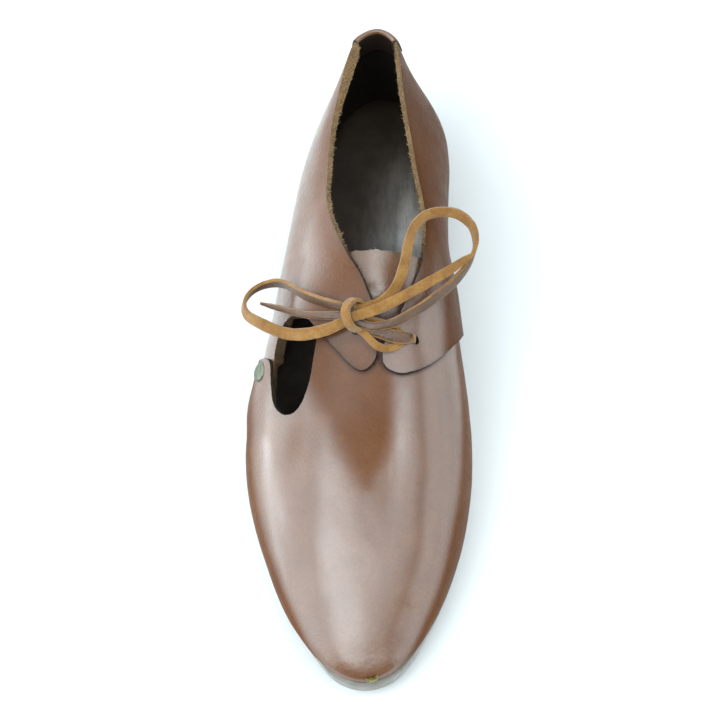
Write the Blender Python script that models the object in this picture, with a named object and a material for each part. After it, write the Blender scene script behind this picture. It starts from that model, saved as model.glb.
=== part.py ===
"""Right leather tie shoe: hollow upper on a thin leather sole, with tongue, quarter lobes, rivet and thong lace.

The last is described by ribs round the shoe, from the toe tip over the lateral side to the heel back and home
over the medial side. Every rib runs from the feather edge over the widest line to the ridge or the collar.
Sizes below are millimetres; the objects are in metres. Toe at -Y, lateral side at -X.
"""

import math

import bmesh
import bpy
import numpy as np
from mathutils import Vector

MM = 0.001

# ---------------------------------------------------------------- driving sizes (mm)
WALL = 2.0                 # leather of the upper
GAP = 0.3                  # clearance between neighbouring pieces
SOLE_T = 4.6               # outsole
INSOLE_T = 2.4
HEEL_H = 16.0              # stacked heel
TOE_SPRING = 8.0
TIP_Y = -136.3             # toe end of the outsole
FLAT_FRONT, FLAT_BACK = -66.0, -20.0   # forefoot tread that touches the floor
HEEL_BREAST = 66.0
FEATHER_INSET = 3.6        # feather edge inside the widest line
LOBE_T = 1.8               # quarter lobes over the vamp
TONGUE_T = 1.8
TAB_T = 1.3                # folded heel tab
TAB_OUT, TAB_IN = 9.0, 12.0
RIVET_R, RIVET_H = 4.4, 1.9
TACK_LEN, TACK_WID, TACK_H = 5.2, 2.6, 1.1
LACE_R = 1.6
LACE_HOLE_R = 2.4
LOW_SHARE = 0.16           # share of a rib that lies below the widest line

# ---------------------------------------------------------------- tables, one row for each rib or section
# widest line: lateral x, y; medial x, y; height above the feather
BULGE = np.array([
    # lat_x   lat_y   med_x   med_y  rise
    [ -1.5, -133.9,   -1.5, -133.9,  4.5],
    [-11.6, -131.4,    8.2, -130.3,  4.6],
    [-20.5, -124.6,   15.2, -122.7,  4.8],
    [-28.0, -115.2,   21.5, -113.5,  5.2],
    [-34.8, -103.8,   27.9, -102.8,  5.8],
    [-41.5,  -88.2,   34.6,  -88.0,  6.6],
    [-47.8,  -70.0,   39.4,  -71.0,  7.4],
    [-52.0,  -51.5,   42.2,  -53.0,  8.0],
    [-53.6,  -35.0,   43.0,  -36.0,  8.4],
    [-52.3,  -18.0,   42.0,  -19.0,  9.0],
    [-48.8,   -1.5,   39.7,   -2.0,  9.8],
    [-44.4,   15.0,   36.9,   16.0, 10.4],
    [-40.8,   34.0,   34.5,   35.0, 10.8],
    [-37.0,   56.0,   32.6,   56.0, 10.8],
    [-33.8,   76.0,   32.5,   76.0, 10.4],
    [-30.0,   94.0,   32.8,   94.0, 10.0],
    [-24.8,  110.5,   30.4,  110.5,  9.6],
    [-17.4,  123.8,   23.4,  124.2,  9.4],
    [ -8.2,  132.6,   13.0,  133.0,  9.4],
    [  2.4,  136.4,    2.4,  136.4,  9.4],
])
# rib shape: length of the low handle, length of the top handle, lean at the top (degrees from upright)
SHAPE = np.array([
    # low  top  lean
    [0.29, 0.40, 90], [0.30, 0.40, 90], [0.34, 0.41, 90], [0.40, 0.42, 90], [0.47, 0.44, 90],
    [0.53, 0.47, 90], [0.50, 0.46, 90], [0.48, 0.45, 90], [0.47, 0.44, 90], [0.48, 0.45, 90],
    [0.50, 0.46, 86], [0.50, 0.43, 74], [0.50, 0.40, 61], [0.50, 0.37, 49], [0.50, 0.36, 44],
    [0.42, 0.35, 36], [0.34, 0.34, 27], [0.28, 0.34, 18], [0.26, 0.34, 12], [0.34, 0.34, 8],
])
# ridge line of the vamp from the toe to the end of the throat
RIDGE = np.array([
    #    y    x     z
    [-103.0, 0.6, 31.6],
    [ -90.0, 2.6, 35.9],
    [ -70.0, 5.2, 41.7],
    [ -50.0, 6.6, 46.5],
    [ -30.0, 7.0, 51.2],
    [ -14.0, 6.2, 56.4],
    [  -1.0, 4.6, 61.6],
])
# y at which each front rib meets the ridge
RIDGE_Y = np.array([-103.0, -101.6, -98.0, -93.0, -86.0, -76.0, -63.0, -49.0, -34.5, -18.0, -1.0])
# top of the ribs behind the throat, and the share of each rib at which the collar edge cuts it
COLLAR = np.array([
    # lat_x  lat_y  lat_z  med_x  med_y  med_z  lat_cut  med_cut
    [  4.6,  -1.0, 61.6,   4.6,  -1.0, 61.6, 1.000, 1.000],
    [  1.4,  16.5, 69.4,   8.0,  16.0, 69.4, 0.975, 0.880],
    [ -9.6,  34.5, 68.8,  16.4,  33.5, 70.0, 1.000, 0.885],
    [-17.6,  56.0, 66.2,  21.2,  55.0, 67.4, 1.000, 0.970],
    [-18.0,  75.0, 66.2,  19.0,  75.0, 66.6, 1.000, 1.000],
    [-17.0,  93.0, 67.6,  16.0,  94.0, 68.2, 1.000, 1.000],
    [-14.0, 109.5, 70.2,  13.4, 110.0, 70.8, 1.000, 1.000],
    [-10.8, 122.6, 73.4,  11.8, 122.5, 73.6, 1.000, 1.000],
    [ -6.8, 130.9, 76.2,  10.0, 130.7, 76.2, 1.000, 1.000],
    [  2.2, 134.6, 77.4,   2.2, 134.6, 77.4, 1.000, 1.000],
])
# overhang of the outsole past the widest line, by rib: lateral, medial
SOLE_MARGIN = np.array([
    [ 2.4,  2.4], [ 1.5,  3.1], [-0.3,  2.9], [-1.2,  1.8], [-1.4,  0.7], [-1.5, -0.4], [-1.5, -1.0],
    [-1.5, -1.2], [-1.5, -1.3], [-1.5, -1.4], [-1.6, -1.6], [-1.8, -1.8], [-2.0, -2.0], [-2.2, -2.2],
    [-2.4, -2.4], [-2.6, -2.6], [-2.8, -2.8], [-3.0, -3.0], [-3.0, -3.0], [-3.0, -3.0],
])
# side cut-out on the lateral wall: rib and share of the rib, round the teardrop
CUTOUT = np.array([
    # rib   share
    [ 8.50, 0.540],
    [ 8.66, 0.502],
    [ 9.00, 0.480],
    [ 9.50, 0.466],
    [ 9.95, 0.472],
    [10.38, 0.515],
    [10.64, 0.580],
    [10.68, 0.660],
    [10.50, 0.722],
    [10.22, 0.742],
    [ 9.80, 0.722],
    [ 9.25, 0.688],
    [ 8.74, 0.640],
    [ 8.52, 0.592],
])
# outlines of the quarter lobes in plan
LOBE_LATERAL = np.array([
    #   x      y
    [  3.4,  -3.0],
    [  4.0,  -8.0],
    [  2.4, -11.6],
    [ -2.9, -13.6],
    [ -7.8, -10.2],
    [-13.4,  -4.2],
    [-18.0,   1.2],
    [-17.0,   5.0],
    [ -8.0,   5.0],
    [  1.0,   3.0],
])
LOBE_MEDIAL = np.array([
    [  6.0,  -3.0],
    [  5.8,  -8.5],
    [  8.2, -12.8],
    [ 14.9, -14.7],
    [ 22.1, -11.5],
    [ 27.2,  -6.8],
    [ 31.0,  -1.6],
    [ 30.0,   3.0],
    [ 20.0,   5.0],
    [  9.4,   3.0],
])
LACE_HOLES = {"lateral": (-4.4, -0.6), "medial": (18.4, -2.0)}
# routes of the lace
LOOP_LATERAL = np.array([
    #   x      y     z
    [-12.6,   0.7, 67.4],
    [-16.6,   0.0, 65.0],
    [-26.3,  -0.2, 60.5],
    [-34.9,   2.0, 56.5],
    [-43.7,   8.0, 53.2],
    [-49.0,  13.2, 51.8],
    [-51.8,  18.9, 51.4],
    [-50.6,  23.5, 52.4],
    [-45.0,  25.3, 54.6],
    [-37.5,  21.9, 57.8],
    [-26.6,  16.1, 62.4],
    [-18.0,  11.6, 66.8],
    [-14.4,   9.8, 68.8],
])
END_LATERAL = np.array([
    [-14.6,   6.0, 66.0],
    [-20.1,   7.2, 63.4],
    [-26.5,   8.9, 60.6],
    [-37.4,  13.8, 55.6],
    [-45.6,  17.2, 52.8],
])
LOOP_MEDIAL = np.array([
    [  2.6,  -0.2, 70.2],
    [  9.4,   0.5, 70.2],
    [ 19.5,   5.6, 68.6],
    [ 29.6,  14.9, 65.4],
    [ 37.8,  24.3, 63.4],
    [ 43.2,  32.5, 63.6],
    [ 44.0,  40.1, 65.0],
    [ 41.5,  49.4, 67.0],
    [ 35.3,  52.3, 68.8],
    [ 27.8,  52.1, 70.6],
    [ 22.0,  48.2, 72.4],
    [ 17.6,  40.4, 74.0],
    [ 14.5,  30.0, 74.8],
    [ 11.7,  20.9, 74.6],
    [  8.5,  12.6, 72.8],
    [  3.0,   8.8, 71.4],
])
END_MEDIAL = np.array([
    [  2.4,   4.2, 75.2],
    [  6.0,   5.4, 76.8],
    [  9.6,   6.9, 77.4],
    [ 15.2,   9.7, 76.6],
    [ 27.2,  19.0, 72.8],
    [ 39.5,  31.3, 68.0],
])
BAR = np.array([
    [ -4.2,  -1.4, 65.0],
    [ -0.5,  -0.9, 66.2],
    [  3.6,  -2.0, 66.6],
    [  7.7,  -1.7, 66.4],
    [ 13.0,  -2.7, 65.2],
    [ 18.6,  -3.3, 62.8],
])
KNOT_AT, KNOT_R = (-6.1, 5.0, 71.6), (6.4, 5.2, 3.9)

RIBS = len(BULGE) - 1      # ribs 0..RIBS on each side
THROAT_RIB = 10            # rib on which the throat opening ends
RING = 2 * RIBS            # ribs round the whole shoe


# ---------------------------------------------------------------- curves
def spline(rows, t, ring=False):
    """Catmull-Rom through rows at whole values of t."""
    rows = np.asarray(rows, float)
    n = len(rows)
    t = np.asarray(t, float)
    if ring:
        i = np.floor(t).astype(int)
        p = [rows[(i + k) % n] for k in (-1, 0, 1, 2)]
    else:
        i = np.clip(np.floor(t).astype(int), 0, n - 2)
        more = np.vstack([2 * rows[0] - rows[1], rows, 2 * rows[-1] - rows[-2]])
        p = [more[i + k] for k in (0, 1, 2, 3)]
    f = (t - i)[..., None]
    return 0.5 * (2 * p[1] + (p[2] - p[0]) * f + (2 * p[0] - 5 * p[1] + 4 * p[2] - p[3]) * f ** 2
                  + (3 * p[1] - p[0] - 3 * p[2] + p[3]) * f ** 3)


def curve_at(table, y):
    """Hermite curve through a table whose first column rises."""
    y = np.asarray(y, float)
    x, v = table[:, 0], table[:, 1:]
    i = np.clip(np.searchsorted(x, y, side="right") - 1, 0, len(x) - 2)
    m = np.gradient(v, x, axis=0)
    h = (x[i + 1] - x[i])[..., None]
    f = (y - x[i])[..., None] / h
    return ((2 * f ** 3 - 3 * f ** 2 + 1) * v[i] + (f ** 3 - 2 * f ** 2 + f) * h * m[i]
            + (3 * f ** 2 - 2 * f ** 3) * v[i + 1] + (f ** 3 - f ** 2) * h * m[i + 1])


def ease(a, b, x):
    f = np.clip((x - a) / (b - a), 0, 1)
    return f * f * (3 - 2 * f)


def bezier(a, b, c, d, f):
    f = f[..., None]
    g = 1 - f
    return g ** 3 * a + 3 * g * g * f * b + 3 * g * f * f * c + f ** 3 * d


def closed_ring(lateral, medial):
    return np.vstack([lateral, medial[-2:0:-1]])


BULGE_RING = closed_ring(BULGE[:, [0, 1, 4]], BULGE[:, [2, 3, 4]])
SHAPE_RING = closed_ring(SHAPE, SHAPE)
MARGIN_RING = closed_ring(SOLE_MARGIN[:, :1], SOLE_MARGIN[:, 1:])


# ---------------------------------------------------------------- the last
def sole_under(y):
    """Underside of the outsole along the foot: flat tread, toe spring, arch, heel seat."""
    y = np.asarray(y, float)
    toe = TOE_SPRING * np.clip((FLAT_FRONT - y) / (FLAT_FRONT - TIP_Y), 0, None) ** 1.8
    return toe + (HEEL_H + GAP) * ease(FLAT_BACK, HEEL_BREAST, y)


def sole_top(y):
    return sole_under(y) + SOLE_T


def from_toe(s):
    """Ring position as (rib counted from the toe, medial side or not)."""
    s = np.asarray(s, float) % RING
    medial = s > RIBS
    return np.where(medial, RING - s, s), medial


def outline_normal(s):
    e = 1e-3
    d = (spline(BULGE_RING, np.asarray(s) + e, True) - spline(BULGE_RING, np.asarray(s) - e, True))[..., :2]
    n = np.stack([-d[..., 1], d[..., 0]], -1)
    return n / np.linalg.norm(n, axis=-1, keepdims=True)


def outline(s, grow):
    """Widest line in plan, moved outwards by grow."""
    return spline(BULGE_RING, s, True)[..., :2] + np.asarray(grow)[..., None] * outline_normal(s)


def collar_position(s):
    k, medial = from_toe(s)
    last = len(COLLAR) - 1
    along = np.clip(k - THROAT_RIB, 0, last)
    return np.where(medial, 2 * last - along, along)


def rib_top(s):
    """Top of rib s: on the ridge in front, on the collar behind the throat. Also the ridge's slope."""
    k, _ = from_toe(s)
    y = spline(RIDGE_Y[:, None], np.clip(k, 0, THROAT_RIB))[..., 0]
    x, z = np.moveaxis(curve_at(RIDGE, y), -1, 0)
    slope = curve_at(RIDGE, y + 0.5)[..., 1] - curve_at(RIDGE, y - 0.5)[..., 1]
    rows = np.vstack([COLLAR[:, :3], COLLAR[-2::-1, 3:6]])
    collar = spline(rows, collar_position(s))
    return np.where((k <= THROAT_RIB)[..., None], np.stack([x, y, z], -1), collar), slope, k


def collar_cut(s):
    """Share of the rib at which the collar edge lies."""
    k, _ = from_toe(s)
    rows = np.concatenate([COLLAR[:, 6], COLLAR[-2::-1, 7]])[:, None]
    return np.where(k <= THROAT_RIB, 1.0, spline(rows, collar_position(s))[..., 0])


def rib(s):
    """Control points of rib s: feather, two handles, widest point, two handles, top."""
    b = spline(BULGE_RING, s, True)
    wide = b.copy()
    wide[..., 2] = sole_top(b[..., 1]) + GAP + b[..., 2]
    top, slope, k = rib_top(s)
    low, high, lean = np.moveaxis(spline(SHAPE_RING, s, True), -1, 0)
    lean = np.radians(np.clip(lean, 0, 90))
    out = wide[..., :2] - top[..., :2]
    out = out / np.maximum(np.linalg.norm(out, axis=-1, keepdims=True), 1e-6)
    reach = high * np.linalg.norm(wide - top, axis=-1)
    h1 = wide.copy()
    h1[..., 2] += low * (top[..., 2] - wide[..., 2])
    h2 = top.copy()
    h2[..., :2] += out * (np.sin(lean) * reach)[..., None]
    h2[..., 2] += -np.cos(lean) * reach + (1 - ease(THROAT_RIB, THROAT_RIB + 2, k)) * slope * out[..., 1] * np.sin(lean) * reach
    n = outline_normal(s)
    foot = wide.copy()
    foot[..., :2] -= FEATHER_INSET * n
    foot[..., 2] = sole_top(foot[..., 1]) + GAP
    rise = wide[..., 2] - foot[..., 2]
    f1 = foot.copy()
    f1[..., :2] += 0.62 * FEATHER_INSET * n
    f1[..., 2] += 0.06 * rise
    f2 = wide.copy()
    f2[..., 2] -= 0.5 * rise
    return foot, f1, f2, wide, h1, h2, top


def on_last(s, r):
    """Outer face of the upper: s round the ring of ribs, r from the feather (0) to the rib's top (1)."""
    s, r = np.broadcast_arrays(np.asarray(s, float), np.asarray(r, float))
    foot, f1, f2, wide, h1, h2, top = rib(s)
    low = bezier(foot, f1, f2, wide, np.clip(r / LOW_SHARE, 0, 1))
    high = bezier(wide, h1, h2, top, np.clip((r - LOW_SHARE) / (1 - LOW_SHARE), 0, None))
    return np.where((r <= LOW_SHARE)[..., None], low, high)


def last_normal(s, r):
    e = 2e-3
    s, r = np.broadcast_arrays(np.asarray(s, float), np.asarray(r, float))
    along = on_last(s + e, r) - on_last(s - e, r)
    up = on_last(s, np.minimum(r + e, 1)) - on_last(s, np.maximum(r - e, 0))
    n = np.cross(up, along)
    return n / np.maximum(np.linalg.norm(n, axis=-1, keepdims=True), 1e-9)


def offset_last(s, r, distance):
    return on_last(s, r) + np.asarray(distance)[..., None] * last_normal(s, r)


# ---------------------------------------------------------------- building objects
SHIFT = np.zeros(3)


def set_origin(*groups):
    """Origin under the middle of the box of the given points."""
    points = np.vstack([g.reshape(-1, 3) for g in groups])
    low, high = points.min(axis=0), points.max(axis=0)
    SHIFT[:] = [-(low[0] + high[0]) / 2, -(low[1] + high[1]) / 2, 0.0]


def material(name, colour, roughness, metallic=0.0):
    m = bpy.data.materials.new(name)
    m.use_nodes = True
    bsdf = m.node_tree.nodes["Principled BSDF"]
    bsdf.inputs["Base Color"].default_value = (*colour, 1.0)
    bsdf.inputs["Roughness"].default_value = roughness
    bsdf.inputs["Metallic"].default_value = metallic
    return m


def add_object(name, points, faces, mat, cutter=False):
    mesh = bpy.data.meshes.new(name)
    mesh.from_pydata([tuple(p) for p in (np.asarray(points, float) + SHIFT) * MM], [], [tuple(f) for f in faces])
    bm = bmesh.new()
    bm.from_mesh(mesh)
    bmesh.ops.remove_doubles(bm, verts=bm.verts, dist=1e-7)
    bmesh.ops.recalc_face_normals(bm, faces=bm.faces)
    bm.to_mesh(mesh)
    bm.free()
    obj = bpy.data.objects.new(name, mesh)
    bpy.context.scene.collection.objects.link(obj)
    if cutter:
        obj.hide_render = True
        obj.display_type = "WIRE"
    else:
        mesh.materials.append(mat)
        mesh.shade_smooth()
        mesh.set_sharp_from_angle(angle=math.radians(40))
        obj.parent = SHOE
    return obj


def boolean(obj, cutter, operation):
    mod = obj.modifiers.new(f"{operation.lower()}_{cutter.name}", "BOOLEAN")
    mod.operation = operation
    mod.solver = "EXACT"
    mod.object = cutter


def slab_between(outer, inner):
    """Closed faces between two grids of the same shape, with a rim round all four sides."""
    rows, cols = outer.shape[:2]
    points = np.vstack([outer.reshape(-1, 3), inner.reshape(-1, 3)])
    at = lambda i, j, side: side * rows * cols + i * cols + j
    faces = []
    for i in range(rows - 1):
        for j in range(cols - 1):
            faces.append((at(i, j, 0), at(i, j + 1, 0), at(i + 1, j + 1, 0), at(i + 1, j, 0)))
            faces.append((at(i, j, 1), at(i + 1, j, 1), at(i + 1, j + 1, 1), at(i, j + 1, 1)))
    border = [(0, j) for j in range(cols)] + [(i, cols - 1) for i in range(1, rows)]
    border += [(rows - 1, j) for j in range(cols - 2, -1, -1)] + [(i, 0) for i in range(rows - 2, 0, -1)]
    for a, b in zip(border, border[1:] + border[:1]):
        faces.append((at(*a, 0), at(*b, 0), at(*b, 1), at(*a, 1)))
    return points, faces


def prism(plan, low, high):
    n = len(plan)
    points = np.vstack([np.column_stack([plan, np.full(n, low)]), np.column_stack([plan, np.full(n, high)])])
    faces = [tuple(range(n))[::-1], tuple(range(n, 2 * n))]
    faces += [(i, (i + 1) % n, n + (i + 1) % n, n + i) for i in range(n)]
    return points, faces


def smooth_outline(rows, per_row):
    t = np.arange(len(rows) * per_row) / per_row
    return spline(rows, t, ring=True)


def plate(ring_low, ring_high):
    """Plate whose two outlines run toe, lateral side, heel back, medial side; faces go straight across the foot."""
    n = len(ring_low)
    points = np.vstack([ring_low, ring_high])
    faces = []
    for i in range(n):
        faces.append((i, (i + 1) % n, n + (i + 1) % n, n + i))
    half = n // 2
    for side, flip in ((0, False), (n, True)):
        for i in range(half):
            quad = [side + i, side + i + 1, side + (n - i - 1) % n, side + (n - i) % n]
            quad = [v for k, v in enumerate(quad) if v not in quad[:k]]
            faces.append(tuple(quad[::-1] if flip else quad))
    return points, faces


def tube(name, rows, mat, radius=LACE_R, step=2.4):
    """Round cord on a poly spline through points read from a smooth curve."""
    fine = spline(rows, np.linspace(0, len(rows) - 1, 400))
    run = np.concatenate([[0], np.cumsum(np.linalg.norm(np.diff(fine, axis=0), axis=1))])
    count = max(6, int(run[-1] / (step * 2 * radius)) + 1)
    at = np.linspace(0, run[-1], count)
    points = np.stack([np.interp(at, run, fine[:, k]) for k in range(3)], -1)
    curve = bpy.data.curves.new(name, "CURVE")
    curve.dimensions = "3D"
    curve.bevel_depth = radius * MM
    curve.bevel_resolution = 2
    curve.use_fill_caps = True
    curve.twist_mode = "MINIMUM"
    line = curve.splines.new("POLY")
    line.points.add(count - 1)
    for p, q in zip(line.points, (points + SHIFT) * MM):
        p.co = (*q, 1.0)
    obj = bpy.data.objects.new(name, curve)
    bpy.context.scene.collection.objects.link(obj)
    curve.materials.append(mat)
    obj.parent = SHOE
    return obj


def turned(profile, sides, base, axis):
    """Solid turned from (radius, height) rows round an axis."""
    axis = Vector(axis).normalized()
    side = axis.cross(Vector((0, 0, 1))).normalized()
    up = axis.cross(side)
    points, faces = [], []
    for radius, height in profile:
        for k in range(sides):
            a = 2 * math.pi * k / sides
            points.append(Vector(base) + axis * height + radius * (math.cos(a) * side + math.sin(a) * up))
    for i in range(len(profile) - 1):
        for k in range(sides):
            q = (k + 1) % sides
            faces.append((i * sides + k, i * sides + q, (i + 1) * sides + q, (i + 1) * sides + k))
    faces.append(tuple(range(sides))[::-1])
    faces.append(tuple(range((len(profile) - 1) * sides, len(profile) * sides)))
    return np.array([tuple(p) for p in points]), faces


# ---------------------------------------------------------------- pieces
PER_RIB = 2                # stations between ribs
LEVELS = np.array([0.0, 0.07, 0.16, 0.26, 0.36, 0.46, 0.56, 0.66, 0.76, 0.86, 0.94, 1.0])


def upper_sheets():
    stations = np.arange(RING * PER_RIB) / PER_RIB
    s = np.repeat(stations[:, None], len(LEVELS), 1)
    r = LEVELS[None, :] * collar_cut(stations)[:, None]
    outer = on_last(s, r)
    n = last_normal(s, r)
    half = RIBS * PER_RIB
    last = THROAT_RIB * PER_RIB
    for i in range(1, last + 1):           # one ridge point, with one normal, for the two sides
        both = n[i, -1] + n[2 * half - i, -1]
        n[i, -1] = n[2 * half - i, -1] = both / np.linalg.norm(both)
        outer[2 * half - i, -1] = outer[i, -1]
    inner = outer - WALL * n
    inner[..., 2] = np.maximum(inner[..., 2], sole_top(inner[..., 1]) + GAP)
    inner[:, 0, 2] = np.maximum(inner[:, 0, 2], outer[:, 0, 2] + 0.6 * WALL)
    return outer, inner


def build_upper(mat, cut):
    outer, inner = upper_sheets()
    count, levels = outer.shape[:2]
    points = np.vstack([outer.reshape(-1, 3), inner.reshape(-1, 3)])
    twin = {}
    for i in range(1, THROAT_RIB * PER_RIB + 1):
        twin[count - i] = i

    def at(i, j, side):
        i %= count
        if j == levels - 1 and i in twin:
            i = twin[i]
        return side * count * levels + i * levels + j

    faces = []
    for i in range(count):
        for j in range(levels - 1):
            for side in (0, 1):
                quad = [at(i, j, side), at(i + 1, j, side), at(i + 1, j + 1, side), at(i, j + 1, side)]
                faces.append(tuple(quad if side else quad[::-1]))
        faces.append((at(i, 0, 0), at(i + 1, 0, 0), at(i + 1, 0, 1), at(i, 0, 1)))
        if THROAT_RIB * PER_RIB <= i < count - THROAT_RIB * PER_RIB:
            k = levels - 1
            faces.append((at(i, k, 1), at(i + 1, k, 1), at(i + 1, k, 0), at(i, k, 0)))
    used = sorted({v for f in faces for v in f})
    index = {v: n for n, v in enumerate(used)}
    obj = add_object("upper", points[used], [tuple(index[v] for v in f) for f in faces], mat)
    boolean(obj, cut, "DIFFERENCE")
    return obj


def cutout_cutter():
    """Teardrop prism through the lateral wall, along the wall's mean normal."""
    rim = smooth_outline(CUTOUT, 2)
    on_wall = on_last(rim[:, 0], rim[:, 1])
    axis = last_normal(rim[:, 0], rim[:, 1]).mean(axis=0)
    axis /= np.linalg.norm(axis)
    n = len(rim)
    points = np.vstack([on_wall - 7 * axis, on_wall + 7 * axis])
    faces = [tuple(range(n))[::-1], tuple(range(n, 2 * n))]
    faces += [(i, (i + 1) % n, n + (i + 1) % n, n + i) for i in range(n)]
    return add_object("cutout_cutter", points, faces, None, cutter=True)


def build_lobe(name, side, plan, hole, mat):
    """Quarter lobe: a leaf between two offsets of the upper, trimmed to its outline and pierced for the lace."""
    ribs = np.linspace(8.8, 11.0, 12)
    s = ribs if side < 0 else RING - ribs
    share = np.linspace(0.56 if side > 0 else 0.68, 0.992, 12)
    ss = np.repeat(s[:, None], len(share), 1)
    rr = share[None, :] * np.minimum(1.0, collar_cut(s))[:, None]
    low, high = GAP, GAP + LOBE_T
    obj = add_object(name, *slab_between(offset_last(ss, rr, np.full(ss.shape, high)), offset_last(ss, rr, np.full(ss.shape, low))), mat)
    trim = add_object(name + "_outline", *prism(smooth_outline(plan, 3), 30.0, 95.0), None, cutter=True)
    ring = [(hole[0] + LACE_HOLE_R * math.cos(a), hole[1] + LACE_HOLE_R * math.sin(a)) for a in np.arange(14) * 2 * math.pi / 14]
    pierce = add_object(name + "_hole", *prism(np.array(ring), 30.0, 95.0), None, cutter=True)
    boolean(obj, trim, "INTERSECT")
    boolean(obj, pierce, "DIFFERENCE")
    return obj


def build_tongue(mat):
    """Leaf that bridges the throat just inside the upper, from under the vamp to behind the throat."""
    ribs = np.linspace(9.55, 12.05, 11)
    across = np.linspace(0, 1, 13)
    mid = np.zeros((len(ribs), len(across), 3))
    depth = WALL + GAP + 0.35 + TONGUE_T / 2
    for i, k in enumerate(ribs):
        ends = []
        for s, share in ((k, 0.84), (RING - k, 0.74)):
            share = share - 0.10 * ease(11.0, 12.0, k) * (1 if s == k else 0.3)
            p = offset_last(np.array(s), np.array(share), np.array(-depth))
            q = offset_last(np.array(s), np.array(share + 0.02), np.array(-depth))
            ends.append((p, (q - p) / np.linalg.norm(q - p)))
        (a, ta), (b, tb) = ends
        reach = np.linalg.norm(b - a) * 0.95
        f = across[:, None]
        mid[i] = ((2 * f ** 3 - 3 * f ** 2 + 1) * a + (f ** 3 - 2 * f ** 2 + f) * reach * ta
                  + (3 * f ** 2 - 2 * f ** 3) * b - (f ** 3 - f ** 2) * reach * tb)
        mid[i, :, 1] += 3.0 * ease(11.2, 12.05, k) * np.sin(np.pi * across) ** 0.8
    n = np.cross(np.gradient(mid, axis=1), np.gradient(mid, axis=0))
    n /= np.linalg.norm(n, axis=-1, keepdims=True)
    n *= np.sign(n[..., 2:3])
    return add_object("tongue", *slab_between(mid + n * TONGUE_T / 2, mid - n * TONGUE_T / 2), mat)


def heel_tab_sections():
    """Sections of the strip folded over the collar at the back: an upside-down U along the collar."""
    s = np.linspace(RIBS - 1.1, RIBS + 1.1, 13)
    sections = []
    for v in s:
        top = on_last(np.array(v), np.array(1.0))
        n = last_normal(np.array(v), np.array(1.0))
        up = top - on_last(np.array(v), np.array(0.98))
        up /= np.linalg.norm(up)
        span = np.linalg.norm(top - on_last(np.array(v), np.array(LOW_SHARE)))

        def wall(depth, distance):
            share = 1 - depth / span * (1 - LOW_SHARE)
            return offset_last(np.array(v), np.array(share), np.array(distance))

        lip = lambda side, rise: top + side * n + rise * up
        near, far = GAP, GAP + TAB_T
        outer = [wall(TAB_OUT, far), wall(TAB_OUT / 2, far), lip(far, 0.2), lip(far - 0.55, far * 0.75), lip(near - 0.4, far)]
        outer += [lip(-WALL + 0.4 - near, far), lip(-WALL - far + 0.55, far * 0.75), lip(-WALL - far, 0.2)]
        outer += [wall(TAB_IN / 2, -WALL - far), wall(TAB_IN, -WALL - far)]
        inner = [wall(TAB_IN, -WALL - near), wall(TAB_IN / 2, -WALL - near), lip(-WALL - near, near), lip(near, near)]
        inner += [wall(TAB_OUT / 2, near), wall(TAB_OUT, near)]
        sections.append(np.array(outer + inner))
    return np.array(sections)


def build_heel_tab(mat):
    grid = heel_tab_sections()
    rows, cols = grid.shape[:2]
    faces = []
    for i in range(rows - 1):
        for j in range(cols):
            k = (j + 1) % cols
            faces.append((i * cols + j, i * cols + k, (i + 1) * cols + k, (i + 1) * cols + j))
    faces.append(tuple(range(cols))[::-1])
    faces.append(tuple(range((rows - 1) * cols, rows * cols)))
    return add_object("heel_tab", grid.reshape(-1, 3), faces, mat)


def sole_ring(grow, height):
    stations = np.arange(RING * PER_RIB) / PER_RIB
    plan = outline(stations, grow if np.ndim(grow) else np.full(len(stations), grow))
    return np.column_stack([plan, height(plan[:, 1])])


def build_outsole(mat):
    margin = spline(MARGIN_RING, np.arange(RING * PER_RIB) / PER_RIB, True)[:, 0]
    return add_object("outsole", *plate(sole_ring(margin, sole_under), sole_ring(margin, sole_top)), mat)


def build_insole(mat):
    grow = -(FEATHER_INSET + 1.6)
    return add_object("insole", *plate(sole_ring(grow, lambda y: sole_top(y) + GAP),
                                       sole_ring(grow, lambda y: sole_top(y) + GAP + INSOLE_T)), mat)


def build_heel(mat):
    """Stacked heel: the outsole's outline behind the breast, slightly tapered to the floor."""
    stations = np.arange(RING * PER_RIB * 2) / (PER_RIB * 2)
    margin = spline(MARGIN_RING, stations, True)[:, 0]
    rings = []
    for inset, height in ((1.6, 0.0), (0.3, HEEL_H)):
        plan = outline(stations, margin - inset)
        plan = plan[plan[:, 1] > HEEL_BREAST + 2.0]
        ends = np.array([[plan[-1, 0], HEEL_BREAST + inset], [plan[0, 0], HEEL_BREAST + inset]])
        waist = [[(1 - f) * ends[0, 0] + f * ends[1, 0], HEEL_BREAST + inset + 3.0 * math.sin(math.pi * f)] for f in (0.25, 0.5, 0.75)]
        plan = np.vstack([plan, ends[:1], waist, ends[1:]])
        rings.append(np.column_stack([plan, np.full(len(plan), height)]))
    n = len(rings[0])
    faces = [tuple(range(n))[::-1], tuple(range(n, 2 * n))]
    faces += [(i, (i + 1) % n, n + (i + 1) % n, n + i) for i in range(n)]
    return add_object("heel", np.vstack(rings), faces, mat)


def build_rivet(mat):
    s, r = np.array(9.78), np.array(0.352)
    rows = [(RIVET_R, 0.0), (RIVET_R, 0.5 * RIVET_H), (0.86 * RIVET_R, 0.8 * RIVET_H), (0.5 * RIVET_R, RIVET_H)]
    return add_object("rivet", *turned(rows, 20, offset_last(s, r, np.array(GAP)), last_normal(s, r)), mat)


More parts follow.
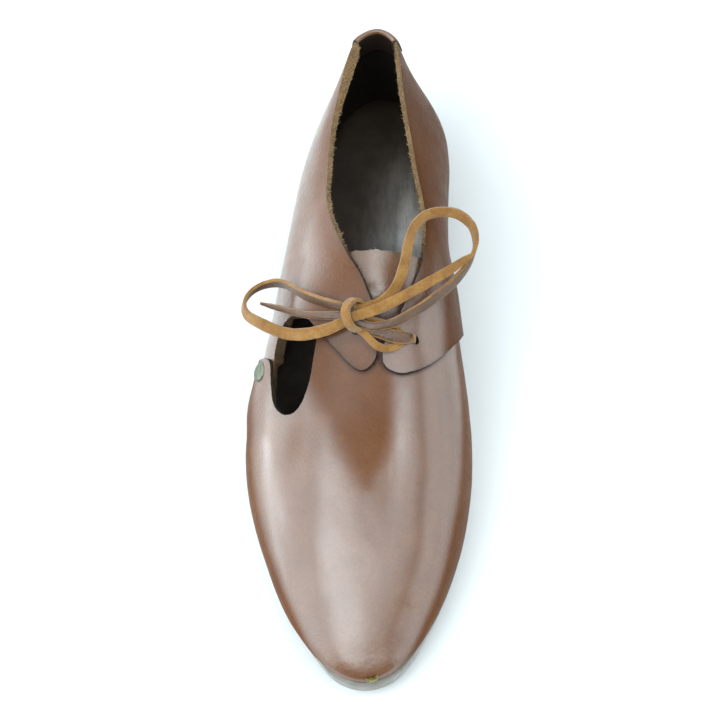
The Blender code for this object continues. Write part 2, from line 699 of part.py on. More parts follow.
def build_tack(mat):
    """Small flat brass tack on the toe, its long side across the shoe."""
    s, r = np.array(RING - 0.22), np.array(0.21)
    axis = last_normal(s, r)
    side = np.cross([0, 0, 1], axis)
    side /= np.linalg.norm(side)
    rise = np.cross(axis, side)
    base = offset_last(s, r, np.array(GAP + 0.15))
    points = []
    for height, shrink in ((0.0, 1.0), (0.55, 1.0), (1.0, 0.72)):
        for a, b in ((-1, -1), (1, -1), (1, 1), (-1, 1)):
            points.append(base + axis * height * TACK_H + side * a * shrink * TACK_LEN / 2 + rise * b * shrink * TACK_WID / 2)
    faces = [(3, 2, 1, 0), (8, 9, 10, 11)]
    for ring in (0, 4):
        faces += [(ring + i, ring + (i + 1) % 4, ring + 4 + (i + 1) % 4, ring + 4 + i) for i in range(4)]
    return add_object("toe_tack", np.array(points), faces, mat)


def build_knot(mat):
    rings, sides = 7, 14
    rows = [(math.sin(math.pi * (i + 1) / (rings + 1)), -math.cos(math.pi * (i + 1) / (rings + 1))) for i in range(rings)]
    points, faces = turned(rows, sides, (0, 0, 0), (0, 0.001, 1))
    points = points * np.array(KNOT_R) + np.array(KNOT_AT)
    return add_object("lace_knot", points, faces, mat)


# ---------------------------------------------------------------- assembly
for old in list(bpy.data.objects):
    bpy.data.objects.remove(old, do_unlink=True)
SHOE = bpy.data.objects.new("shoe", None)
bpy.context.scene.collection.objects.link(SHOE)

margin_all = spline(MARGIN_RING, np.arange(RING * PER_RIB) / PER_RIB, True)[:, 0]
set_origin(upper_sheets()[0], sole_ring(margin_all, sole_under), heel_tab_sections())

LEATHER = (0.165, 0.075, 0.045)
build_upper(material("upper_leather", LEATHER, 0.42), cutout_cutter())
build_tongue(material("tongue_leather", (0.16, 0.075, 0.05), 0.5))
build_insole(material("insole_leather", (0.07, 0.03, 0.022), 0.4))
build_outsole(material("outsole_leather", (0.13, 0.10, 0.085), 0.65))
build_heel(material("heel_leather", (0.10, 0.055, 0.035), 0.6))
build_lobe("lobe_lateral", -1, LOBE_LATERAL, LACE_HOLES["lateral"], material("lobe_lateral_leather", LEATHER, 0.42))
build_lobe("lobe_medial", 1, LOBE_MEDIAL, LACE_HOLES["medial"], material("lobe_medial_leather", LEATHER, 0.42))
build_heel_tab(material("heel_tab_leather", (0.15, 0.07, 0.045), 0.45))
build_rivet(material("rivet_metal", (0.42, 0.43, 0.33), 0.4, 1.0))
build_tack(material("tack_brass", (0.45, 0.33, 0.13), 0.4, 1.0))
tube("lace_bar", BAR, material("lace_bar_leather", (0.33, 0.17, 0.07), 0.7))
build_knot(material("lace_knot_leather", (0.42, 0.23, 0.08), 0.75))
tube("lace_loop_lateral", LOOP_LATERAL, material("lace_loop_lateral_leather", (0.42, 0.23, 0.08), 0.75))
tube("lace_loop_medial", LOOP_MEDIAL, material("lace_loop_medial_leather", (0.42, 0.23, 0.08), 0.75))
tube("lace_end_lateral", END_LATERAL, material("lace_end_lateral_leather", (0.25, 0.12, 0.06), 0.6))
tube("lace_end_medial", END_MEDIAL, material("lace_end_medial_leather", (0.42, 0.23, 0.08), 0.75))
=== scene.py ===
import math

import bmesh
import bpy
import numpy as np
from mathutils import Matrix, Vector, noise
from mathutils.geometry import delaunay_2d_cdt
from mathutils.kdtree import KDTree


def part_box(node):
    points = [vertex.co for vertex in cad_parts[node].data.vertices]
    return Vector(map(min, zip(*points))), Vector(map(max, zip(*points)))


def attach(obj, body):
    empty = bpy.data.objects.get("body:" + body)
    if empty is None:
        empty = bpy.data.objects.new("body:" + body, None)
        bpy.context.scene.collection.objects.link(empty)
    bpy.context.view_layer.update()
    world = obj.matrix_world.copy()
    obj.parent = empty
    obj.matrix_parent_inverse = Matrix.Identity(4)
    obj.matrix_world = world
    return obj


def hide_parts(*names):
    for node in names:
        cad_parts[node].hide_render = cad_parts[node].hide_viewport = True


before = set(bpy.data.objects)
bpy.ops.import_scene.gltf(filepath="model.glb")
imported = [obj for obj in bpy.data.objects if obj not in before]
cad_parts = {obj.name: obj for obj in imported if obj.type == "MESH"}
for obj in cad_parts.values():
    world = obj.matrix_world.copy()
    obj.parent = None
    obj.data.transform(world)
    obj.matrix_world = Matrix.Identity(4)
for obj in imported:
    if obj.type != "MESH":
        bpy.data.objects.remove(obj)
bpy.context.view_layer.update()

MM = 0.001

# ---------------------------------------------------------------- driving sizes (mm)
WALL = 2.0                 # leather of the upper
GAP = 0.3                  # clearance between neighbouring pieces
SOLE_T = 4.6               # outsole
INSOLE_T = 2.4
HEEL_H = 16.0              # stacked heel
TOE_SPRING = 8.0
TIP_Y = -136.3             # toe end of the outsole
FLAT_FRONT, FLAT_BACK = -66.0, -20.0   # forefoot tread that touches the floor
HEEL_BREAST = 66.0
FEATHER_INSET = 3.6        # feather edge inside the widest line
LOBE_T = 1.8               # quarter lobes over the vamp
TONGUE_T = 1.8
TAB_T = 1.3                # folded heel tab
TAB_OUT, TAB_IN = 9.0, 12.0
RIVET_R, RIVET_H = 4.4, 1.9
TACK_LEN, TACK_WID, TACK_H = 5.2, 2.6, 1.1
LACE_R = 1.6
LACE_HOLE_R = 2.4
LOW_SHARE = 0.16           # share of a rib that lies below the widest line

# ---------------------------------------------------------------- tables, one row for each rib or section
# widest line: lateral x, y; medial x, y; height above the feather
BULGE = np.array([
    # lat_x   lat_y   med_x   med_y  rise
    [ -1.5, -133.9,   -1.5, -133.9,  4.5],
    [-11.6, -131.4,    8.2, -130.3,  4.6],
    [-20.5, -124.6,   15.2, -122.7,  4.8],
    [-28.0, -115.2,   21.5, -113.5,  5.2],
    [-34.8, -103.8,   27.9, -102.8,  5.8],
    [-41.5,  -88.2,   34.6,  -88.0,  6.6],
    [-47.8,  -70.0,   39.4,  -71.0,  7.4],
    [-52.0,  -51.5,   42.2,  -53.0,  8.0],
    [-53.6,  -35.0,   43.0,  -36.0,  8.4],
    [-52.3,  -18.0,   42.0,  -19.0,  9.0],
    [-48.8,   -1.5,   39.7,   -2.0,  9.8],
    [-44.4,   15.0,   36.9,   16.0, 10.4],
    [-40.8,   34.0,   34.5,   35.0, 10.8],
    [-37.0,   56.0,   32.6,   56.0, 10.8],
    [-33.8,   76.0,   32.5,   76.0, 10.4],
    [-30.0,   94.0,   32.8,   94.0, 10.0],
    [-24.8,  110.5,   30.4,  110.5,  9.6],
    [-17.4,  123.8,   23.4,  124.2,  9.4],
    [ -8.2,  132.6,   13.0,  133.0,  9.4],
    [  2.4,  136.4,    2.4,  136.4,  9.4],
])
# rib shape: length of the low handle, length of the top handle, lean at the top (degrees from upright)
SHAPE = np.array([
    # low  top  lean
    [0.29, 0.40, 90], [0.30, 0.40, 90], [0.34, 0.41, 90], [0.40, 0.42, 90], [0.47, 0.44, 90],
    [0.53, 0.47, 90], [0.50, 0.46, 90], [0.48, 0.45, 90], [0.47, 0.44, 90], [0.48, 0.45, 90],
    [0.50, 0.46, 86], [0.50, 0.43, 74], [0.50, 0.40, 61], [0.50, 0.37, 49], [0.50, 0.36, 44],
    [0.42, 0.35, 36], [0.34, 0.34, 27], [0.28, 0.34, 18], [0.26, 0.34, 12], [0.34, 0.34, 8],
])
# ridge line of the vamp from the toe to the end of the throat
RIDGE = np.array([
    #    y    x     z
    [-103.0, 0.6, 31.6],
    [ -90.0, 2.6, 35.9],
    [ -70.0, 5.2, 41.7],
    [ -50.0, 6.6, 46.5],
    [ -30.0, 7.0, 51.2],
    [ -14.0, 6.2, 56.4],
    [  -1.0, 4.6, 61.6],
])
# y at which each front rib meets the ridge
RIDGE_Y = np.array([-103.0, -101.6, -98.0, -93.0, -86.0, -76.0, -63.0, -49.0, -34.5, -18.0, -1.0])
# top of the ribs behind the throat, and the share of each rib at which the collar edge cuts it
COLLAR = np.array([
    # lat_x  lat_y  lat_z  med_x  med_y  med_z  lat_cut  med_cut
    [  4.6,  -1.0, 61.6,   4.6,  -1.0, 61.6, 1.000, 1.000],
    [  1.4,  16.5, 69.4,   8.0,  16.0, 69.4, 0.975, 0.880],
    [ -9.6,  34.5, 68.8,  16.4,  33.5, 70.0, 1.000, 0.885],
    [-17.6,  56.0, 66.2,  21.2,  55.0, 67.4, 1.000, 0.970],
    [-18.0,  75.0, 66.2,  19.0,  75.0, 66.6, 1.000, 1.000],
    [-17.0,  93.0, 67.6,  16.0,  94.0, 68.2, 1.000, 1.000],
    [-14.0, 109.5, 70.2,  13.4, 110.0, 70.8, 1.000, 1.000],
    [-10.8, 122.6, 73.4,  11.8, 122.5, 73.6, 1.000, 1.000],
    [ -6.8, 130.9, 76.2,  10.0, 130.7, 76.2, 1.000, 1.000],
    [  2.2, 134.6, 77.4,   2.2, 134.6, 77.4, 1.000, 1.000],
])
# overhang of the outsole past the widest line, by rib: lateral, medial
SOLE_MARGIN = np.array([
    [ 2.4,  2.4], [ 1.5,  3.1], [-0.3,  2.9], [-1.2,  1.8], [-1.4,  0.7], [-1.5, -0.4], [-1.5, -1.0],
    [-1.5, -1.2], [-1.5, -1.3], [-1.5, -1.4], [-1.6, -1.6], [-1.8, -1.8], [-2.0, -2.0], [-2.2, -2.2],
    [-2.4, -2.4], [-2.6, -2.6], [-2.8, -2.8], [-3.0, -3.0], [-3.0, -3.0], [-3.0, -3.0],
])

RIBS = len(BULGE) - 1      # ribs 0..RIBS on each side
THROAT_RIB = 10            # rib on which the throat opening ends
RING = 2 * RIBS            # ribs round the whole shoe


# ---------------------------------------------------------------- curves
def spline(rows, t, ring=False):
    """Catmull-Rom through rows at whole values of t."""
    rows = np.asarray(rows, float)
    n = len(rows)
    t = np.asarray(t, float)
    if ring:
        i = np.floor(t).astype(int)
        p = [rows[(i + k) % n] for k in (-1, 0, 1, 2)]
    else:
        i = np.clip(np.floor(t).astype(int), 0, n - 2)
        more = np.vstack([2 * rows[0] - rows[1], rows, 2 * rows[-1] - rows[-2]])
        p = [more[i + k] for k in (0, 1, 2, 3)]
    f = (t - i)[..., None]
    return 0.5 * (2 * p[1] + (p[2] - p[0]) * f + (2 * p[0] - 5 * p[1] + 4 * p[2] - p[3]) * f ** 2
                  + (3 * p[1] - p[0] - 3 * p[2] + p[3]) * f ** 3)


def curve_at(table, y):
    """Hermite curve through a table whose first column rises."""
    y = np.asarray(y, float)
    x, v = table[:, 0], table[:, 1:]
    i = np.clip(np.searchsorted(x, y, side="right") - 1, 0, len(x) - 2)
    m = np.gradient(v, x, axis=0)
    h = (x[i + 1] - x[i])[..., None]
    f = (y - x[i])[..., None] / h
    return ((2 * f ** 3 - 3 * f ** 2 + 1) * v[i] + (f ** 3 - 2 * f ** 2 + f) * h * m[i]
            + (3 * f ** 2 - 2 * f ** 3) * v[i + 1] + (f ** 3 - f ** 2) * h * m[i + 1])


def ease(a, b, x):
    f = np.clip((x - a) / (b - a), 0, 1)
    return f * f * (3 - 2 * f)


def bezier(a, b, c, d, f):
    f = f[..., None]
    g = 1 - f
    return g ** 3 * a + 3 * g * g * f * b + 3 * g * f * f * c + f ** 3 * d


def closed_ring(lateral, medial):
    return np.vstack([lateral, medial[-2:0:-1]])


BULGE_RING = closed_ring(BULGE[:, [0, 1, 4]], BULGE[:, [2, 3, 4]])
SHAPE_RING = closed_ring(SHAPE, SHAPE)
MARGIN_RING = closed_ring(SOLE_MARGIN[:, :1], SOLE_MARGIN[:, 1:])


# ---------------------------------------------------------------- the last
def sole_under(y):
    """Underside of the outsole along the foot: flat tread, toe spring, arch, heel seat."""
    y = np.asarray(y, float)
    toe = TOE_SPRING * np.clip((FLAT_FRONT - y) / (FLAT_FRONT - TIP_Y), 0, None) ** 1.8
    return toe + (HEEL_H + GAP) * ease(FLAT_BACK, HEEL_BREAST, y)


def sole_top(y):
    return sole_under(y) + SOLE_T


def from_toe(s):
    """Ring position as (rib counted from the toe, medial side or not)."""
    s = np.asarray(s, float) % RING
    medial = s > RIBS
    return np.where(medial, RING - s, s), medial


def outline_normal(s):
    e = 1e-3
    d = (spline(BULGE_RING, np.asarray(s) + e, True) - spline(BULGE_RING, np.asarray(s) - e, True))[..., :2]
    n = np.stack([-d[..., 1], d[..., 0]], -1)
    return n / np.linalg.norm(n, axis=-1, keepdims=True)


def outline(s, grow):
    """Widest line in plan, moved outwards by grow."""
    return spline(BULGE_RING, s, True)[..., :2] + np.asarray(grow)[..., None] * outline_normal(s)


def collar_position(s):
    k, medial = from_toe(s)
    last = len(COLLAR) - 1
    along = np.clip(k - THROAT_RIB, 0, last)
    return np.where(medial, 2 * last - along, along)


def rib_top(s):
    """Top of rib s: on the ridge in front, on the collar behind the throat. Also the ridge's slope."""
    k, _ = from_toe(s)
    y = spline(RIDGE_Y[:, None], np.clip(k, 0, THROAT_RIB))[..., 0]
    x, z = np.moveaxis(curve_at(RIDGE, y), -1, 0)
    slope = curve_at(RIDGE, y + 0.5)[..., 1] - curve_at(RIDGE, y - 0.5)[..., 1]
    rows = np.vstack([COLLAR[:, :3], COLLAR[-2::-1, 3:6]])
    collar = spline(rows, collar_position(s))
    return np.where((k <= THROAT_RIB)[..., None], np.stack([x, y, z], -1), collar), slope, k


def collar_cut(s):
    """Share of the rib at which the collar edge lies."""
    k, _ = from_toe(s)
    rows = np.concatenate([COLLAR[:, 6], COLLAR[-2::-1, 7]])[:, None]
    return np.where(k <= THROAT_RIB, 1.0, spline(rows, collar_position(s))[..., 0])


def rib(s):
    """Control points of rib s: feather, two handles, widest point, two handles, top."""
    b = spline(BULGE_RING, s, True)
    wide = b.copy()
    wide[..., 2] = sole_top(b[..., 1]) + GAP + b[..., 2]
    top, slope, k = rib_top(s)
    low, high, lean = np.moveaxis(spline(SHAPE_RING, s, True), -1, 0)
    lean = np.radians(np.clip(lean, 0, 90))
    out = wide[..., :2] - top[..., :2]
    out = out / np.maximum(np.linalg.norm(out, axis=-1, keepdims=True), 1e-6)
    reach = high * np.linalg.norm(wide - top, axis=-1)
    h1 = wide.copy()
    h1[..., 2] += low * (top[..., 2] - wide[..., 2])
    h2 = top.copy()
    h2[..., :2] += out * (np.sin(lean) * reach)[..., None]
    h2[..., 2] += -np.cos(lean) * reach + (1 - ease(THROAT_RIB, THROAT_RIB + 2, k)) * slope * out[..., 1] * np.sin(lean) * reach
    n = outline_normal(s)
    foot = wide.copy()
    foot[..., :2] -= FEATHER_INSET * n
    foot[..., 2] = sole_top(foot[..., 1]) + GAP
    rise = wide[..., 2] - foot[..., 2]
    f1 = foot.copy()
    f1[..., :2] += 0.62 * FEATHER_INSET * n
    f1[..., 2] += 0.06 * rise
    f2 = wide.copy()
    f2[..., 2] -= 0.5 * rise
    return foot, f1, f2, wide, h1, h2, top


def on_last(s, r):
    """Outer face of the upper: s round the ring of ribs, r from the feather (0) to the rib's top (1)."""
    s, r = np.broadcast_arrays(np.asarray(s, float), np.asarray(r, float))
    foot, f1, f2, wide, h1, h2, top = rib(s)
    low = bezier(foot, f1, f2, wide, np.clip(r / LOW_SHARE, 0, 1))
    high = bezier(wide, h1, h2, top, np.clip((r - LOW_SHARE) / (1 - LOW_SHARE), 0, None))
    return np.where((r <= LOW_SHARE)[..., None], low, high)


def last_normal(s, r):
    e = 2e-3
    s, r = np.broadcast_arrays(np.asarray(s, float), np.asarray(r, float))
    along = on_last(s + e, r) - on_last(s - e, r)
    up = on_last(s, np.minimum(r + e, 1)) - on_last(s, np.maximum(r - e, 0))
    n = np.cross(up, along)
    return n / np.maximum(np.linalg.norm(n, axis=-1, keepdims=True), 1e-9)


def offset_last(s, r, distance):
    return on_last(s, r) + np.asarray(distance)[..., None] * last_normal(s, r)


# ---------------------------------------------------------------- frame of the last in the model
SIDE_STATIONS = np.arange(RING * 2) / 2
_margin = spline(MARGIN_RING, SIDE_STATIONS, True)[:, 0]
_sole_plan = outline(SIDE_STATIONS, _margin)
_sole_box = np.array(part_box("outsole"), float) / MM
SHIFT = np.array([*(_sole_box[0][:2] - _sole_plan.min(axis=0)), 0.0])


def noise_at(points, scale, seed=0.0):
    """Smooth noise from -1 to 1 at points in millimetres."""
    return np.array([noise.noise(Vector((x * scale + seed, y * scale - seed, z * scale + 0.37 * seed))) for x, y, z in points])


def nearest(points, line):
    """Distance of each point from a line of close points."""
    tree = KDTree(len(line))
    for i, p in enumerate(line):
        tree.insert(p, i)
    tree.balance()
    return np.array([tree.find(p)[2] for p in points])


def unit(v):
    return v / np.maximum(np.linalg.norm(v, axis=-1, keepdims=True), 1e-9)


def add_piece(name, points, faces, mats, face_mat=None, attrs=None, sharp=48, replaces=(), slot=None, outward=True, body="root"):
    """Mesh piece from millimetre points; it rides on the shoe's one body."""
    mesh = bpy.data.meshes.new(name)
    mesh.from_pydata([tuple(p) for p in (np.asarray(points, float) + SHIFT) * MM], [], [tuple(int(i) for i in f) for f in faces])
    for m in mats:
        mesh.materials.append(m)
    if face_mat is not None:
        mesh.polygons.foreach_set("material_index", np.asarray(face_mat, np.int32))
    for key, values in (attrs or {}).items():
        layer = mesh.attributes.new(key, "FLOAT", "POINT")
        layer.data.foreach_set("value", np.asarray(values, np.float32))
    bm = bmesh.new()
    bm.from_mesh(mesh)
    bmesh.ops.remove_doubles(bm, verts=bm.verts, dist=2e-7)
    if outward:
        bmesh.ops.recalc_face_normals(bm, faces=bm.faces)
    bm.to_mesh(mesh)
    bm.free()
    mesh.shade_smooth()
    mesh.set_sharp_from_angle(angle=math.radians(sharp))
    obj = bpy.data.objects.new(name, mesh)
    bpy.context.scene.collection.objects.link(obj)
    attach(obj, body)
    if replaces:
        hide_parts(*replaces)
    return obj


# ---------------------------------------------------------------- cut leather: sheets laid out in the plane of ribs and shares
SU, SV = 17.0, 76.0        # millimetres for one rib and for one whole share in that plane


def inside(points, polygon):
    """Even-odd test of many points against a closed outline."""
    x, y = points[:, 0], points[:, 1]
    hit = np.zeros(len(points), bool)
    for (x0, y0), (x1, y1) in zip(polygon, np.roll(polygon, -1, axis=0)):
        if y0 != y1:
            hit ^= ((y0 > y) != (y1 > y)) & (x < (x1 - x0) * (y - y0) / (y1 - y0) + x0)
    return hit


def trace(rows, step, rough=0.0, seed=0.0):
    """Cut line through (rib, share) rows: points step apart in the plane, with the wander of a hand-held knife."""
    rows = np.asarray(rows, float) * [SU, SV]
    fine = spline(rows, np.linspace(0, len(rows) - 1, 40 * len(rows)))
    run = np.concatenate([[0], np.cumsum(np.linalg.norm(np.diff(fine, axis=0), axis=1))])
    at = np.linspace(0, run[-1], max(3, int(run[-1] / step) + 1))
    line = np.stack([np.interp(at, run, fine[:, k]) for k in range(2)], -1)
    if rough:
        d = np.gradient(line, axis=0)
        side = unit(np.stack([-d[:, 1], d[:, 0]], -1))
        flat = np.column_stack([line, np.zeros(len(line))])
        wander = 0.55 * noise_at(flat, 0.24, seed) + 0.65 * noise_at(flat, 0.8, seed + 3) + 0.55 * noise_at(flat, 1.9, seed + 7)
        fade = np.minimum(1, np.minimum(at, run[-1] - at) / 4)
        line = line + side * (rough * wander * fade)[:, None]
    return line


def straight(a, b, count):
    f = np.linspace(0, 1, count)[:, None]
    return ((1 - f) * np.asarray(a) + f * np.asarray(b)) * [SU, SV]


def round_hole(rib_at, share_at, radius, flat=1.0, turn=0.0, count=34):
    a = np.linspace(0, 2 * math.pi, count, endpoint=False)
    x, y = radius * np.cos(a), radius * flat * np.sin(a)
    return np.column_stack([rib_at * SU + x * math.cos(turn) - y * math.sin(turn), share_at * SV + x * math.sin(turn) + y * math.cos(turn)])


def loop_of(*lines):
    return np.vstack([line[:-1] for line in lines])


def fill(loops, spacing):
    """Triangles between an outer loop and its holes: the cut lines themselves, and an even lattice inside them."""
    border = np.vstack(loops)
    low, high = loops[0].min(axis=0), loops[0].max(axis=0)
    lattice = []
    for i, v in enumerate(np.arange(low[1] + 0.5 * spacing, high[1], 0.87 * spacing)):
        u = np.arange(low[0] + (0.25 if i % 2 else 0.75) * spacing, high[0], spacing)
        lattice.append(np.column_stack([u, np.full(len(u), v)]))
    lattice = np.vstack(lattice)
    keep = inside(lattice, loops[0])
    for hole in loops[1:]:
        keep &= ~inside(lattice, hole)
    lattice = lattice[keep]
    far = nearest(np.column_stack([lattice, np.zeros(len(lattice))]), np.column_stack([border, np.zeros(len(border))]))
    points = np.vstack([border, lattice[far > 0.6 * spacing]])
    edges, start = [], 0
    for loop in loops:
        n = len(loop)
        edges += [(start + i, start + (i + 1) % n) for i in range(n)]
        start += n
    made = delaunay_2d_cdt([Vector(p) for p in points], edges, [], 0, 1e-7)
    where = np.array([tuple(v) for v in made[0]])
    tris = np.array([tuple(f) for f in made[2]])
    middle = where[tris].mean(axis=1)
    keep = inside(middle, loops[0])
    for hole in loops[1:]:
        keep &= ~inside(middle, hole)
    return where, tris[keep]


def sheet_normal(s, r, joined):
    n = last_normal(s, r)
    if joined:             # one normal along the ridge, where the two sides of the vamp are one leather
        w = 0.5 * ease(0.96, 1.0, r)[:, None]
        n = unit((1 - w) * n + w * last_normal(RING - s, r))
    return n


def cut_leather(name, loops, spacing, thick, lift, mats, joined=False, flesh=None, pale=None, burnish_and_painted_shade=None, tone=None, seed=0.0, **more):
    """A leather with real thickness between its grain face and flesh face, and a raw cut edge round it.

    thick, flesh and pale are functions of rib and share: the sheet, how far the flesh side stands out at a cut, and how
    light the cut is;
    on the flesh face that lightness fades away from the cut into a near-black painted interior shade. The spread
    function, also of rib and share, gives how far the darkening of the edge reaches: a burnished edge, and painted
    shade where it is widened. tone gives, for the grain side, a duller finish with painted darker colour, painted
    shade, and painted highlights of stronger specular.
    """
    where, tris = fill(loops, spacing)
    s, r = where[:, 0] / SU, where[:, 1] / SV
    r = np.where(r > 0.99999, 1.0, np.clip(r, 0, 1))
    base = on_last(s, r)
    n = sheet_normal(s, r, joined)
    outer = base + lift(s, r, base)[:, None] * n
    outer[:, 2] = np.maximum(outer[:, 2], sole_top(outer[:, 1]) + 0.05)
    inner = outer - thick(s, r)[:, None] * n
    inner[:, 2] = np.maximum(inner[:, 2], sole_top(inner[:, 1]) + GAP)
    sink = 0.65 * (1 - ease(0.0, 0.05, r))
    outer[:, 2] -= sink
    inner[:, 2] -= sink

    edges = np.sort(np.vstack([tris[:, [0, 1]], tris[:, [1, 2]], tris[:, [2, 0]]]), axis=1)
    _, same, count = np.unique(edges, axis=0, return_inverse=True, return_counts=True)
    single = np.flatnonzero(count[same.ravel()] == 1)
    edge, tri = edges[single], tris[single % len(tris)]
    if joined:
        open_ = ~(r[edge] > 0.99999).all(axis=1)
        edge, tri = edge[open_], tri[open_]
    third = tri.sum(axis=1) - edge.sum(axis=1)
    along = unit(outer[edge[:, 1]] - outer[edge[:, 0]])
    away = outer[edge].mean(axis=1) - outer[third]
    away = unit(away - (away * along).sum(axis=1)[:, None] * along)
    out = np.zeros_like(outer)
    np.add.at(out, edge[:, 0], away)
    np.add.at(out, edge[:, 1], away)
    border = np.unique(edge)
    out = unit(out[border])
    raw = ease(0.02, 0.06, r[border])
    stand = flesh(s[border], r[border])
    fray = noise_at(outer[border], 0.45, seed + 1) + 0.8 * noise_at(outer[border], 1.1, seed + 2) + 0.6 * noise_at(outer[border], 2.3, seed + 4)
    inner[border] += out * (raw * (stand + (0.20 + 0.30 * np.abs(stand)) * fray))[:, None]
    shares = (0.22, 0.5, 0.8)
    rows = []
    for k, f in enumerate(shares):
        p = (1 - f) * outer[border] + f * inner[border]
        fuzz = noise_at(p, 1.6, seed + 10 + k) + 0.8 * noise_at(p, 3.4, seed + 20 + k)
        rows.append(p + out * (raw * (0.14 * math.sin(math.pi * f) + 0.22 * fuzz))[:, None])
    count = len(outer)
    points = np.vstack([outer, inner, *rows])
    place = np.zeros(count, int)
    place[border] = np.arange(len(border))
    faces = [tuple(t) for t in tris] + [tuple(t) for t in tris[:, ::-1] + count]
    face_mat = [0] * len(tris) + [1] * len(tris)
    for a, b in edge:
        ia, ib = place[a], place[b]
        chain_a = [a] + [2 * count + k * len(border) + ia for k in range(len(shares))] + [count + a]
        chain_b = [b] + [2 * count + k * len(border) + ib for k in range(len(shares))] + [count + b]
        for k in range(len(shares) + 1):
            faces.append((chain_a[k], chain_b[k], chain_b[k + 1], chain_a[k + 1]))
            face_mat.append(2)
    rim = outer[border][r[border] > 0.03]
    away_from_edge = nearest(outer, rim)
    # darker near the cuts: burnished edges, widened near the vamp's cut-out as painted shade
    worn = np.exp(-away_from_edge / (1.5 if burnish_and_painted_shade is None else burnish_and_painted_shade(s, r)))
    low = 1 - ease(0.02, 0.20, r)
    light = pale(s, r)
    # on the flesh face the pale attribute fades away from the cut, leaving a near-black painted interior shade
    attrs = {"edge": np.concatenate([worn, worn, np.ones(len(border) * len(shares))]),
             "low": np.concatenate([low, low, np.zeros(len(border) * len(shares))]),
             "pale": np.concatenate([light, light * np.exp(-away_from_edge / 2.6), *[light[border]] * len(shares)])}
    if tone is not None:
        for key, values in zip(("dull_and_painted_shade", "painted_shade", "painted_highlight"), tone(base, s, r)):
            attrs[key] = np.concatenate([values, values, *[values[border]] * len(shares)])
    obj = add_piece(name, points, faces, mats, face_mat, attrs, **more)
    return obj, {"edge": outer[border], "inner": inner[border], "out": out, "share": r[border], "rib": s[border]}


def ring_faces(rings, sides, start=0, closed=True):
    faces = []
    for i in range(rings - 1):
        for j in range(sides if closed else sides - 1):
            k = (j + 1) % sides
            faces.append((start + i * sides + j, start + i * sides + k, start + (i + 1) * sides + k, start + (i + 1) * sides + j))
    return faces


def plate_rings(rings):
    """Closed plate through outlines that run toe, lateral side, heel back, medial side; the ends go straight across."""
    n = len(rings[0])
    points = np.vstack(rings)
    faces = ring_faces(len(rings), n)
    for base, flip in ((0, False), ((len(rings) - 1) * n, True)):
        for i in range(n // 2):
            quad = [base + i, base + i + 1, base + (n - i - 1) % n, base + (n - i) % n]
            quad = [v for k, v in enumerate(quad) if v not in quad[:k]]
            if len(quad) > 2:
                faces.append(tuple(quad[::-1] if flip else quad))
    return points, faces


def grid_slab(outer, inner):
    """Closed faces between two grids, with their material number: 0 outer, 1 inner, 2 rim."""
    rows, cols = outer.shape[:2]
    points = np.vstack([outer.reshape(-1, 3), inner.reshape(-1, 3)])
    at = lambda i, j, side: side * rows * cols + i * cols + j
    faces, mat = [], []
    for i in range(rows - 1):
        for j in range(cols - 1):
            faces.append((at(i, j, 0), at(i, j + 1, 0), at(i + 1, j + 1, 0), at(i + 1, j, 0)))
            faces.append((at(i, j, 1), at(i + 1, j, 1), at(i + 1, j + 1, 1), at(i, j + 1, 1)))
            mat += [0, 1]
    border = [(0, j) for j in range(cols)] + [(i, cols - 1) for i in range(1, rows)]
    border += [(rows - 1, j) for j in range(cols - 2, -1, -1)] + [(i, 0) for i in range(rows - 2, 0, -1)]
    for a, b in zip(border, border[1:] + border[:1]):
        faces.append((at(*a, 0), at(*b, 0), at(*b, 1), at(*a, 1)))
        mat.append(2)
    return points, faces, mat

